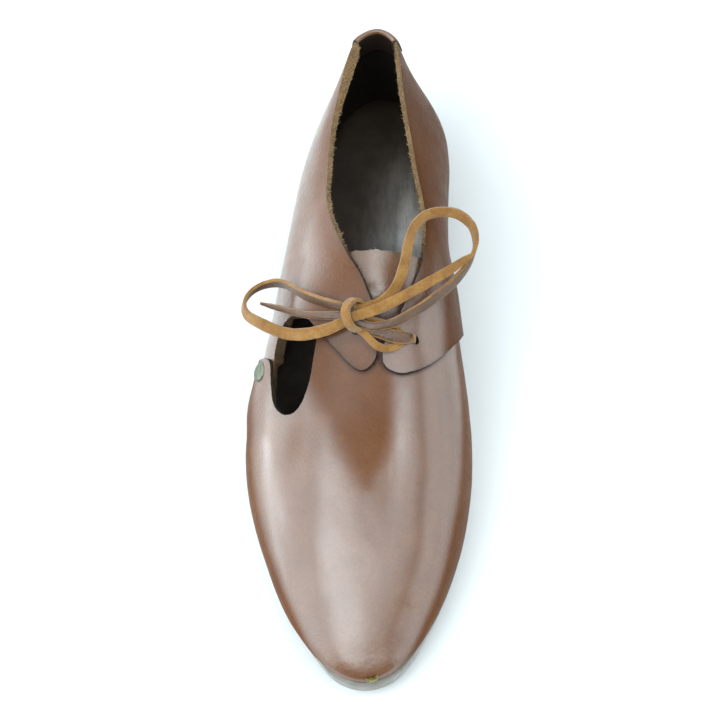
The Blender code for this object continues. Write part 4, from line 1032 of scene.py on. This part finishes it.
# ---------------------------------------------------------------- heel tab
def build_heel_tab():
    """Strip of thin leather folded over the collar at the back."""
    stations = np.linspace(RIBS - 1.12, RIBS + 1.12, 61)
    profile = []
    for v in stations:
        v_ = np.array(v)
        top = on_last(v_, np.array(1.0))
        n = last_normal(v_, np.array(1.0))
        up = unit(top - on_last(v_, np.array(0.98)))
        span = np.linalg.norm(top - on_last(v_, np.array(LOW_SHARE)))

        def wall(depth, distance):
            return offset_last(v_, np.array(1 - depth / span * (1 - LOW_SHARE)), np.array(distance))

        wander = 0.28 * noise.noise(Vector((v * 3.1, 0.4, 0.0)))
        near, far = 0.10, 0.95
        line = []
        wall_t = WALL - 0.8
        middle = -wall_t / 2
        for side, near_, far_ in ((1, near, far),):
            for d in np.linspace(TAB_OUT + wander, 0.6, 9):
                line.append(wall(d, far_))
        half = wall_t / 2 + far
        for a in np.linspace(0.12, math.pi - 0.12, 11):
            line.append(top + (middle + half * math.cos(a)) * n + (2.8 * math.sin(a)) * up)
        for d in np.linspace(0.6, TAB_IN - wander, 9):
            line.append(wall(d, -wall_t - far - 0.06 * d))
        back = [wall(d, -wall_t - near - 0.06 * d) for d in np.linspace(TAB_IN - wander, 0.5, 7)]
        half_in = wall_t / 2 + near
        for a in np.linspace(math.pi - 0.2, 0.2, 7):
            back.append(top + (middle + half_in * math.cos(a)) * n + (0.5 * math.sin(a)) * up)
        back += [wall(d, near) for d in np.linspace(0.5, TAB_OUT + wander, 7)]
        profile.append(np.array(line + back))
    grid = np.array(profile)
    rows, cols = grid.shape[:2]
    lines = 29
    faces = ring_faces(rows, cols)
    mat = []
    for i in range(rows - 1):
        # the fold's inner side and the inside wall take the near-black copy, a painted shade
        mat += [(0 if j < 17 else 3) if j < lines - 1 else (2 if j in (lines - 1, cols - 1) else 1) for j in range(cols)]
    faces += [tuple(range(cols))[::-1], tuple(range((rows - 1) * cols, rows * cols))]
    mat += [2, 2]
    worn = np.zeros((rows, cols))
    worn[:2] = worn[-2:] = 0.8
    worn[:, 0] = worn[:, lines - 1] = 0.8
    add_piece("heel_tab_fold", grid.reshape(-1, 3), faces, [M_GRAIN, M_FLESH, M_RAW, M_TAB_INNER_SHADE], mat,
              {"edge": worn.ravel(), "low": np.zeros(rows * cols), "pale": np.full(rows * cols, 0.35)}, replaces=("heel_tab",), slot="upper_leather")


build_heel_tab()


# ---------------------------------------------------------------- insole, outsole, heel
FINE = np.arange(RING * 8) / 8


def sole_line(grow, height):
    plan = outline(FINE, grow if np.ndim(grow) else np.full(len(FINE), float(grow)))
    return np.column_stack([plan, height(plan[:, 1])])


def build_insole():
    """Inner sole: bare leather, slightly dished along the foot."""
    rings = []
    for grow, rise in ((0.2, 0.0), (1.0, 0.6), (1.2, 2.25), (1.1, 2.36), (-3.0, 2.35), (-7.0, 2.05), (-12.0, 1.75), (-18.0, 1.6)):
        line = sole_line(-(FEATHER_INSET + 1.6) + grow, lambda y: sole_top(y) + GAP + rise)
        rings.append(line)
    points, faces = plate_rings(rings)
    # worn glossy zone at the front of the seat and by the heel, also painted paler as a sheen
    wear_gloss_and_sheen = 1.25 * np.exp(-((points[:, 0] - 17) / 7.0) ** 2 - ((points[:, 1] - 56) / 24) ** 2) + 0.25 * np.exp(-((points[:, 0] - 13) / 7) ** 2 - ((points[:, 1] - 92) / 18) ** 2)
    add_piece("insole_leather_sheet", points, faces, [M_INSOLE], None, {"wear_gloss_and_sheen": wear_gloss_and_sheen},
              sharp=60, replaces=("insole",), slot="insole_leather")


def build_outsole():
    """Single leather sole with a trimmed, slightly rounded edge."""
    margin = spline(MARGIN_RING, FINE, True)[:, 0]
    uneven = 0.10 * noise_at(np.column_stack([outline(FINE, margin), np.zeros(len(FINE))]), 0.12, 4.0)
    rows = ((-6.0, 0.0), (-0.9, 0.0), (-0.35, 0.12), (-0.02, 0.55), (0.10, 1.4), (0.12, 2.4), (0.06, 3.4), (-0.08, 4.1), (-0.40, 4.5), (-0.9, 4.6), (-6.0, 4.6))
    rings = [sole_line(margin + grow + (uneven if 0.05 < rise < 4.55 else 0), lambda y: sole_under(y) + rise) for grow, rise in rows[:-1]]
    rings += [sole_line(grow, sole_top) for grow in (-4.5, -10.0)]
    points, faces = plate_rings(rings)
    n = len(FINE)
    mat = []
    for i in range(len(rings) - 1):
        mat += [1 if i == 0 else 2 if i == len(rings) - 2 else 0] * n
    mat += [1] * (len(faces) - len(mat))
    half = (len(faces) - n * (len(rings) - 1)) // 2
    mat[-half:] = [2] * half
    add_piece("outsole_leather_sheet", points, faces, [M_SOLE_EDGE_LIGHTENED, M_TREAD, M_LINING], mat, sharp=40, replaces=("outsole",), slot="sole_leather")


def build_heel():
    """Stack of leather lifts, each a little trimmed, under the heel seat."""
    stations = np.arange(RING * 16) / 16
    margin = spline(MARGIN_RING, stations, True)[:, 0]
    keep = outline(stations, margin)[:, 1] > HEEL_BREAST + 2.0
    lifts = 5
    rings, tall = [], HEEL_H / lifts
    for i in range(lifts):
        for share, cut in ((0.0, 0.28), (0.09, 0.05), (0.5, 0.0), (0.91, 0.05), (1.0, 0.28)):
            z = (i + share) * tall
            if i == 0 and share == 0.0:
                cut = 0.5
            inset = 1.6 - 1.3 * z / HEEL_H + cut + 0.10 * math.sin(2.4 * i)
            plan = outline(stations[keep], margin[keep] - inset)
            a, b = plan[-1], plan[0]
            breast = HEEL_BREAST + inset
            f = np.linspace(0.0, 1.0, 25)
            front = np.column_stack([(1 - f) * a[0] + f * b[0], breast + 3.0 * np.sin(math.pi * f)])
            plan = np.vstack([plan, front])
            rings.append(np.column_stack([plan, np.full(len(plan), z)]))
    n = len(rings[0])
    points = np.vstack(rings)
    faces = ring_faces(len(rings), n)
    mat = [0] * len(faces)
    faces += [tuple(range(n))[::-1], tuple(range((len(rings) - 1) * n, len(rings) * n))]
    mat += [1, 0]
    add_piece("heel_stack", points, faces, [M_HEEL, M_TREAD], mat, sharp=32, replaces=("heel",), slot="heel_leather")


build_insole()
build_outsole()
build_heel()


# ---------------------------------------------------------------- rivet and toe tack
def frame_at(s, r, distance):
    base = offset_last(np.array(s), np.array(r), np.array(distance))
    axis = last_normal(np.array(s), np.array(r))
    side = unit(np.cross([0, 0, 1], axis))
    return base, axis, side, np.cross(axis, side)


def build_rivet():
    """Domed rivet through wing and quarter, hammered a little flat in the middle."""
    base, axis, side, up = frame_at(9.79, 0.372, WING_LIFT + 0.05)
    axis = unit(axis + np.array([0.0, 0.0, 0.18]))
    up = np.cross(axis, side)
    rows = [(0.0, -0.1), (RIVET_R, -0.1), (RIVET_R, 0.25), (RIVET_R - 0.10, 0.42), (RIVET_R - 0.36, 0.60), (0.84 * RIVET_R, 0.76),
            (0.66 * RIVET_R, 0.92), (0.48 * RIVET_R, 1.00), (0.34 * RIVET_R, 1.02), (0.20 * RIVET_R, 0.98), (0.08 * RIVET_R, 0.95)]
    sides = 56
    points = []
    for radius, height in rows:
        for j in range(sides):
            a = 2 * math.pi * j / sides
            dent = 1 + 0.025 * noise.noise(Vector((2 * math.cos(a), 2 * math.sin(a), 0.3))) * (radius > 0.3)
            flat = 0.09 * noise.noise(Vector((radius * math.cos(a), radius * math.sin(a), 2.0)))
            points.append(base + axis * (height + flat * (height > 0.5)) + radius * dent * (math.cos(a) * side + math.sin(a) * up))
    faces = ring_faces(len(rows), sides)
    faces += [tuple(range((len(rows) - 1) * sides, len(rows) * sides))]
    add_piece("rivet_head", points, faces, [M_RIVET], sharp=35, replaces=("rivet",), slot="rivet_metal")


def build_tack():
    """Small flat brass tack whose two ends are bent into the leather."""
    base, axis, side, up = frame_at(RING - 0.36, 0.225, 0.95)
    long, wide = 41, 13
    outer, inner = np.zeros((long, wide, 3)), np.zeros((long, wide, 3))
    for i, a in enumerate(np.linspace(-1, 1, long)):
        for j, b in enumerate(np.linspace(-1, 1, wide)):
            x = a * TACK_LEN / 2
            drop = 0.75 * ease(0.72, 1.0, abs(a)) + 0.16 * b * b
            y = b * TACK_WID / 2 * (1 - 0.10 * abs(a))
            bow = -0.035 * x * x
            p = base + side * x * (1 - 0.05 * drop) + up * y + axis * (0.85 - drop + bow + 0.05 * noise.noise(Vector((2 * x, 2 * y, 0))))
            outer[i, j], inner[i, j] = p, p - 0.55 * axis
    points, faces, _ = grid_slab(outer, inner)
    add_piece("toe_tack_plate", points, faces, [M_TACK], sharp=40, replaces=("toe_tack",), slot="tack_brass")


build_rivet()
build_tack()


# ---------------------------------------------------------------- loose fibres and nicks along the raw cuts
def build_fibres():
    """Short tapered strands that stand out of the cut edges of collar, cut-out and tongue."""
    rng = np.random.default_rng(11)
    light = quarter_pale(quarter_rim["rib"], quarter_rim["share"])
    keep = np.flatnonzero((light > 0.5) & (quarter_rim["share"] > 0.40) & (abs(quarter_rim["rib"] - RIBS) > 1.05))
    roots = []
    for i in rng.choice(keep, 1150):
        f = rng.uniform(0.15, 1.0)
        p = (1 - f) * quarter_rim["edge"][i] + f * quarter_rim["inner"][i]
        roots.append((p, quarter_rim["out"][i]))
    for i in rng.integers(3, len(tongue_top) - 3, 70):
        roots.append((tongue_top[i] - np.array([0, 0, rng.uniform(0.2, 1.4)]), tongue_out[i]))
    points, faces = [], []
    for p, out in roots:
        sway = rng.normal(0, 0.55, 3)
        go = unit(out + sway)
        bend = unit(rng.normal(0, 1, 3)) * 0.35
        length = rng.uniform(0.4, 1.5)
        radius = rng.uniform(0.10, 0.24)
        a = unit(np.cross(go, [0.3, 0.5, 0.81]))
        b = np.cross(go, a)
        start = len(points)
        for k, t in enumerate((0.0, 0.45, 0.8, 1.0)):
            centre = p - 0.25 * go + (length + 0.25) * t * go + length * t * t * bend
            for j in range(3):
                w = 2 * math.pi * j / 3
                points.append(centre + radius * (1.0, 0.8, 0.5, 0.12)[k] * (math.cos(w) * a + math.sin(w) * b))
        faces += ring_faces(4, 3, start) + [(start + 2, start + 1, start), (start + 9, start + 10, start + 11)]
    add_piece("edge_fibres", points, faces, [M_FIBRE], None, None, sharp=180, replaces=("upper",), slot="upper_leather")


build_fibres()

# ---------------------------------------------------------------- thong lace: flat leather strip, suede on one face and grain on the other
THONG_W, THONG_T = 5.0, 1.7
# rows: centre x, y, z; direction that the suede face looks; width as a share of the thong's
LOOP_LATERAL = np.array([
    [ -3.9,   3.2, 70.2,   0.00, -0.50,  0.87, 0.80],
    [-10.5,   1.4, 68.9,   0.00, -0.60,  0.80, 0.88],
    [-16.6,  -0.0, 65.8,  -0.10, -0.60,  0.79, 0.96],
    [-26.3,  -0.2, 61.4,  -0.20, -0.62,  0.76, 1.00],
    [-34.9,   1.7, 58.5,  -0.35, -0.62,  0.70, 1.00],
    [-44.0,   5.7, 58.3,  -0.65, -0.50,  0.57, 0.98],
    [-51.0,  11.4, 55.3,  -0.88, -0.30,  0.37, 0.96],
    [-52.6,  17.9, 52.8,  -0.97,  0.05,  0.24, 0.96],
    [-49.7,  23.9, 51.4,  -0.75,  0.65,  0.10, 0.96],
    [-43.5,  27.1, 51.6,  -0.20,  0.97, -0.05, 0.98],
    [-35.9,  25.8, 54.6,   0.30,  0.93, -0.20, 1.00],
    [-26.4,  17.1, 62.4,   0.35,  0.88, -0.32, 1.00],
    [-18.0,  11.6, 67.4,   0.35,  0.85, -0.40, 0.94],
    [-11.5,   8.4, 70.3,   0.30,  0.80, -0.50, 0.86],
    [ -4.9,   6.1, 71.7,   0.20,  0.70, -0.60, 0.80],
])
END_LATERAL = np.array([
    [ -4.0,   5.4, 69.2,   0.05,  0.35, -0.94, 0.80],
    [ -9.5,   5.2, 68.2,   0.05,  0.40, -0.92, 0.80],
    [-14.6,   6.0, 66.4,   0.05,  0.50, -0.87, 0.72],
    [-20.1,   7.2, 64.0,   0.10,  0.55, -0.83, 0.66],
    [-26.5,   8.9, 61.2,   0.15,  0.60, -0.78, 0.60],
    [-37.4,  13.8, 56.6,   0.20,  0.60, -0.76, 0.48],
    [-45.6,  17.2, 54.0,   0.20,  0.60, -0.76, 0.24],
])
LOOP_MEDIAL = np.array([
    [ -6.5,   2.4, 70.1,   0.00,  0.40, -0.92, 0.66],
    [  1.0,  -0.1, 69.6,   0.00,  0.45, -0.89, 0.70],
    [  5.0,  -0.2, 70.0,   0.00,  0.45, -0.89, 0.72],
    [ 11.8,   1.6, 69.9,  -0.20,  0.50, -0.84, 0.76],
    [ 22.3,   8.8, 68.6,  -0.40,  0.60, -0.70, 0.82],
    [ 28.4,  14.2, 67.6,  -0.50,  0.62, -0.60, 0.84],
    [ 34.5,  20.1, 66.6,  -0.65,  0.58, -0.48, 0.84],
    [ 39.9,  27.2, 66.0,  -0.80,  0.45, -0.25, 0.84],
    [ 43.2,  34.0, 66.0,  -0.93,  0.20,  0.05, 0.86],
    [ 44.3,  40.2, 66.2,  -0.90, -0.20,  0.30, 0.86],
    [ 42.5,  46.4, 67.9,  -0.65, -0.60,  0.45, 0.86],
    [ 36.8,  50.8, 69.5,  -0.15, -0.80,  0.58, 0.86],
    [ 29.5,  51.1, 70.9,   0.25, -0.72,  0.65, 0.86],
    [ 23.2,  48.3, 72.6,   0.45, -0.50,  0.74, 0.84],
    [ 18.8,  42.2, 74.0,   0.50, -0.30,  0.81, 0.84],
    [ 16.6,  33.8, 74.8,   0.45, -0.25,  0.86, 0.84],
    [ 15.0,  24.8, 74.4,   0.40, -0.30,  0.86, 0.84],
    [ 11.8,  16.0, 72.8,   0.30, -0.40,  0.86, 0.86],
    [  5.5,  10.0, 71.4,   0.20, -0.40,  0.89, 0.78],
    [ -4.5,   6.8, 70.8,   0.10, -0.30,  0.94, 0.74],
])
END_MEDIAL = np.array([
    [ -8.2,   2.2, 72.4,  -0.10, -0.30,  0.95, 0.74],
    [ -2.6,   2.6, 74.6,  -0.15, -0.28,  0.95, 0.82],
    [  5.1,   4.9, 76.0,   0.00, -0.28,  0.96, 0.88],
    [ 12.0,   8.3, 76.3,   0.05, -0.30,  0.95, 0.88],
    [ 18.4,  12.5, 75.6,   0.10, -0.30,  0.95, 0.86],
    [ 25.2,  17.4, 74.2,   0.18, -0.28,  0.94, 0.84],
    [ 32.1,  22.6, 72.4,   0.22, -0.28,  0.93, 0.80],
    [ 38.7,  28.3, 70.8,   0.22, -0.28,  0.93, 0.62],
    [ 43.0,  31.9, 70.0,   0.22, -0.28,  0.93, 0.30],
])
# half knot under the bow: the strand from the medial hole, and the one from the lateral hole that turns round it
STRAND_MEDIAL = np.array([
    [  5.5,  -0.8, 57.9,   0.10,  0.30, -0.95, 0.70],
    [ 12.5,  -1.2, 57.2,   0.40,  0.20, -0.90, 0.66],
    [ 17.0,  -1.4, 57.0,   0.75,  0.10, -0.65, 0.60],
    [ 18.9,  -1.7, 59.0,   0.97,  0.00, -0.20, 0.60],
    [ 18.4,  -2.3, 62.2,   0.80,  0.05, -0.60, 0.70],
    [ 16.2,  -3.0, 64.2,   0.40,  0.25, -0.88, 0.98],
    [ 13.0,  -3.2, 65.3,   0.10,  0.35, -0.93, 1.06],
    [ 10.1,  -2.9, 66.0,   0.05,  0.38, -0.92, 1.06],
    [  6.1,  -2.0, 66.9,   0.00,  0.40, -0.92, 1.02],
    [  1.2,  -0.9, 67.9,   0.00,  0.40, -0.92, 0.92],
    [ -5.0,   1.4, 69.0,   0.00,  0.35, -0.94, 0.80],
])
STRAND_LATERAL = np.array([
    [  4.5,  -0.9, 57.9,   0.00, -0.20, -0.98, 0.60],
    [ -0.5,   0.4, 58.2,  -0.30, -0.20, -0.93, 0.58],
    [ -4.2,   1.4, 59.4,  -0.80, -0.20, -0.55, 0.56],
    [ -5.4,   1.6, 61.8,  -0.97, -0.20,  0.10, 0.56],
    [ -5.0,   0.8, 64.6,  -0.80, -0.35,  0.50, 0.58],
    [ -3.6,  -0.4, 66.8,  -0.30, -0.60,  0.74, 0.60],
    [ -1.0,  -2.6, 67.8,   0.05, -0.60,  0.80, 0.60],
    [  1.2,  -4.8, 67.0,   0.10, -0.60,  0.79, 0.62],
    [  3.6,  -6.8, 65.6,   0.10, -0.55,  0.83, 0.64],
    [  6.6,  -7.7, 64.4,   0.05, -0.55,  0.83, 0.64],
    [  9.5,  -7.4, 63.6,  -0.05, -0.60,  0.80, 0.62],
    [ 12.2,  -6.2, 62.9,  -0.10, -0.70,  0.70, 0.58],
    [ 13.9,  -4.0, 62.7,   0.30, -0.70,  0.62, 0.56],
    [ 13.6,  -0.6, 63.2,   0.70, -0.10,  0.70, 0.56],
    [ 10.6,   2.0, 64.6,   0.60,  0.50,  0.60, 0.58],
    [  6.0,   3.2, 66.4,   0.10,  0.70,  0.70, 0.62],
    [  0.0,   4.0, 68.0,   0.00,  0.60,  0.80, 0.66],
])
# turn of the bow round the knot, a closed ring
WRAP = np.array([
    [ -2.6,   9.6, 71.4,   0.30,  0.95,  0.10, 0.72],
    [ -4.8,   9.5, 74.2,  -0.10,  0.80,  0.60, 0.73],
    [ -7.1,   7.3, 76.0,  -0.30,  0.35,  0.88, 0.75],
    [ -8.3,   4.1, 76.6,  -0.40, -0.05,  0.91, 0.76],
    [ -8.1,   0.9, 75.6,  -0.40, -0.50,  0.77, 0.76],
    [ -6.7,  -1.3, 73.2,  -0.30, -0.85,  0.43, 0.75],
    [ -4.6,  -2.0, 70.2,  -0.10, -0.98,  0.00, 0.72],
    [ -2.6,  -0.4, 67.6,   0.00, -0.75, -0.66, 0.67],
    [ -1.6,   3.2, 66.6,   0.00,  0.00, -1.00, 0.66],
    [ -1.6,   6.9, 67.8,   0.10,  0.70, -0.70, 0.67],
])


def strip(rows, step=0.55, closed=False, seed=0.0, tips=(False, False)):
    """Rings of a flat strip with rounded corners, its centre line, and face materials: 0 suede and cut edges, 1 grain."""
    count = len(rows)
    t = np.linspace(0, count if closed else count - 1, 60 * count, endpoint=not closed)
    fine = spline(rows, t, ring=closed)
    around = np.vstack([fine, fine[:1]]) if closed else fine
    run = np.concatenate([[0], np.cumsum(np.linalg.norm(np.diff(around[:, :3], axis=0), axis=1))])
    number = int(run[-1] / step) + 1
    at = np.linspace(0, run[-1], number, endpoint=not closed)
    row = np.stack([np.interp(at, run, around[:, k]) for k in range(rows.shape[1])], -1)
    centre = row[:, :3]
    if closed:
        along = unit(np.roll(centre, -1, axis=0) - np.roll(centre, 1, axis=0))
    else:
        along = unit(np.gradient(centre, axis=0))
    face = unit(row[:, 3:6])
    face = unit(face - (face * along).sum(axis=1)[:, None] * along)
    side = np.cross(along, face)
    half_w = 0.5 * THONG_W * row[:, 6] * (1 + 0.05 * noise_at(centre, 0.25, seed))
    half_t = np.full(len(centre), 0.5 * THONG_T)
    for end, pointed in zip((0, 1), tips):
        if pointed:
            d = at if end == 0 else run[-1] - at
            half_t = half_t * (0.45 + 0.55 * ease(0, 7, d))
    c = 0.30
    shape = [(-1, -1 + c, 0), (-1, 1 - c, 0), (-1 + c * 0.55, 1, 0), (-0.33, 1.0, 0), (0.33, 1.0, 0), (1 - c * 0.55, 1, 0),
             (1, 1 - c, 0), (1, -1 + c, 0), (1 - c * 0.55, -1, 1), (0.33, -1.06, 1), (-0.33, -1.06, 1), (-1 + c * 0.55, -1, 0)]
    sides = len(shape)
    rings = np.zeros((len(centre), sides, 3))
    for j, (a, b, _) in enumerate(shape):
        ragged = 0.10 * noise_at(centre + 3.1 * j, 0.8, seed + j) * (abs(a) > 0.8)
        cup = -0.10 * (1 - a * a)
        rings[:, j] = centre + side * (a * half_w + np.sign(a) * ragged)[:, None] + face * ((b + cup * 0.5) * half_t)[:, None]
    mats = [shape[j][2] if shape[(j + 1) % sides][1] < -0.5 and shape[j][1] < -0.5 else 0 for j in range(sides)]
    points = rings.reshape(-1, 3)
    faces, mat = ring_faces(len(centre), sides), mats * (len(centre) - 1)
    if closed:
        last = (len(centre) - 1) * sides
        faces += [(last + j, last + (j + 1) % sides, (j + 1) % sides, j) for j in range(sides)]
        mat = mat + mats
    else:
        faces += [tuple(range(sides))[::-1], tuple(range((len(centre) - 1) * sides, len(centre) * sides))]
        mat = mat + [0, 0]
    return points, faces, mat, centre


def add_strip(name, rows, replaces=(), **more):
    points, faces, mat, centre = strip(rows, **more)
    n = len(points)
    obj = add_piece(name, points, faces, [M_SUEDE, M_THONG], mat, {"edge": np.zeros(n), "low": np.zeros(n)}, sharp=50,
                    replaces=replaces, slot="lace_thong")
    return obj, (centre + SHIFT) * MM


def declare(path):
    length = float(np.linalg.norm(np.diff(path, axis=0), axis=1).sum())
    return length


wrap, _ = add_strip("lace_knot_wrap", WRAP, ("lace_knot",), closed=True, seed=1.0)
loop_a, path_a = add_strip("lace_bow_lateral", LOOP_LATERAL, ("lace_loop_lateral",), seed=2.0)
loop_b, path_b = add_strip("lace_bow_medial", LOOP_MEDIAL, ("lace_loop_medial",), seed=3.0)
end_a, path_c = add_strip("lace_tail_lateral", END_LATERAL, ("lace_end_lateral",), seed=4.0, tips=(False, True))
end_b, path_d = add_strip("lace_tail_medial", END_MEDIAL, ("lace_end_medial",), seed=5.0, tips=(False, True))
add_strip("lace_half_knot_medial", STRAND_MEDIAL, ("lace_bar",), seed=6.0)
add_strip("lace_half_knot_lateral", STRAND_LATERAL, ("lace_bar",), seed=7.0)
declare(path_a)
declare(path_b)
declare(path_c)
declare(path_d)

# ---------------------------------------------------------------- floor, light, camera
def build_floor():
    k = Nodes("floor_paper", Specular_IOR_Level=0.2)
    tone = k.ramp(k.noise(9, 3, 0.5), [(0.3, (0.86, 0.865, 0.86)), (0.7, (0.90, 0.90, 0.895))])
    k.done(tone, k.span(k.noise(40, 3), 0.3, 0.7, 0.82, 0.92), k.bump(k.noise(700, 3, 0.6), 0.08, 0.0002))
    mesh = bpy.data.meshes.new("floor")
    half = 4.0
    mesh.from_pydata([(-half, -half, 0), (half, -half, 0), (half, half, 0), (-half, half, 0)], [], [(0, 1, 2, 3)])
    mesh.materials.append(k.mat)
    obj = bpy.data.objects.new("floor", mesh)
    bpy.context.scene.collection.objects.link(obj)


# soft panels round the shoe, given by how bright they look: overhead grid (y, then x from -0.9 to 0.9), left wall (z, height,
# then y from -0.6 to 0.6) and right wall (z, height, then y -0.5 and 0.1), in metres
OVERHEAD = [
    [-0.9, 5.0, 4.5, 3.8, 3.1, 2.6, 2.1, 1.7],
    [-0.6, 5.2, 5.4, 5.0, 3.6, 2.2, 1.5, 1.1],
    [-0.3, 6.2, 5.4, 2.6, 0.6, 2.5, 1.8, 2.2],
    [0.0, 4.2, 1.5, 0.0, 0.0, 4.9, 2.4, 2.1],
    [0.3, 0.8, 0.2, 0.0, 0.8, 2.4, 1.6, 1.0],
    [0.6, 1.2, 1.6, 2.4, 5.4, 3.8, 1.2, 0.0],
]
LEFT_WALL = [
    [0.10, 0.18, 2.0, 5.8, 5.6],
    [0.38, 0.36, 3.4, 3.2, 3.4],
    [0.80, 0.46, 3.2, 2.4, 1.2],
]
RIGHT_WALL = [
    [0.15, 0.28, 2.0, 2.1],
    [0.60, 0.55, 2.5, 2.3],
]
BACK_WALL = 2.5
TINT = (0.89, 1.0, 1.045)


def panel(name, at, look, size, bright):
    if bright < 0.05:
        return
    light = bpy.data.lights.new(name, "AREA")
    light.shape = "RECTANGLE"
    light.size, light.size_y = size
    light.energy = bright * math.pi * size[0] * size[1]
    light.color = TINT
    obj = bpy.data.objects.new(name, light)
    obj.location = at
    obj.rotation_euler = (Vector(look) - Vector(at)).to_track_quat("-Z", "Y").to_euler()
    bpy.context.scene.collection.objects.link(obj)


build_floor()
for i, row in enumerate(OVERHEAD):
    for j, bright in enumerate(row[1:]):
        panel("overhead_%d_%d" % (i, j), (-0.9 + 0.3 * j, row[0], 1.3), (0.0, -0.03, 0.03), (0.30, 0.30), bright)
for i, (z, tall, *row) in enumerate(LEFT_WALL):
    for j, bright in enumerate(row):
        panel("left_%d_%d" % (i, j), (-1.1, -0.6 + 0.6 * j, z), (0.0, 0.0, 0.05), (0.58, tall), bright)
for i, (z, tall, *row) in enumerate(RIGHT_WALL):
    for j, bright in enumerate(row):
        panel("right_%d_%d" % (i, j), (1.1, -0.5 + 0.6 * j, z), (0.0, 0.0, 0.05), (0.6, tall), bright)
panel("back", (0.0, 1.3, 0.40), (0.0, -0.03, 0.03), (1.4, 0.6), BACK_WALL)

world = bpy.data.worlds.new("studio")
world.use_nodes = True
world.node_tree.nodes["Background"].inputs["Color"].default_value = (0.96, 0.98, 1.0, 1.0)
world.node_tree.nodes["Background"].inputs["Strength"].default_value = 0.02
bpy.context.scene.world = world

EYE = np.array([43.6, -351.84, 858.45])
FORWARD, RIGHT = np.array([0.0, 0.39073, -0.92050]), np.array([1.0, 0.0, 0.0])
UP = np.cross(RIGHT, FORWARD)
look = unit(FORWARD - 0.0537 * RIGHT + 0.0019 * UP)
right = unit(RIGHT - RIGHT.dot(look) * look)
camera = bpy.data.cameras.new("camera")
camera.sensor_width = 36.0
camera.lens = 2122.0 / 720.0 * 36.0
camera.clip_start, camera.clip_end = 0.05, 20.0
eye = bpy.data.objects.new("camera", camera)
eye.rotation_euler = Matrix(np.column_stack([right, np.cross(right, look), -look]).tolist()).to_euler()
eye.location = tuple((EYE + SHIFT) * MM)
bpy.context.scene.collection.objects.link(eye)
bpy.context.scene.camera = eye
bpy.context.scene.view_settings.view_transform = "Standard"
bpy.context.scene.view_settings.look = "None"
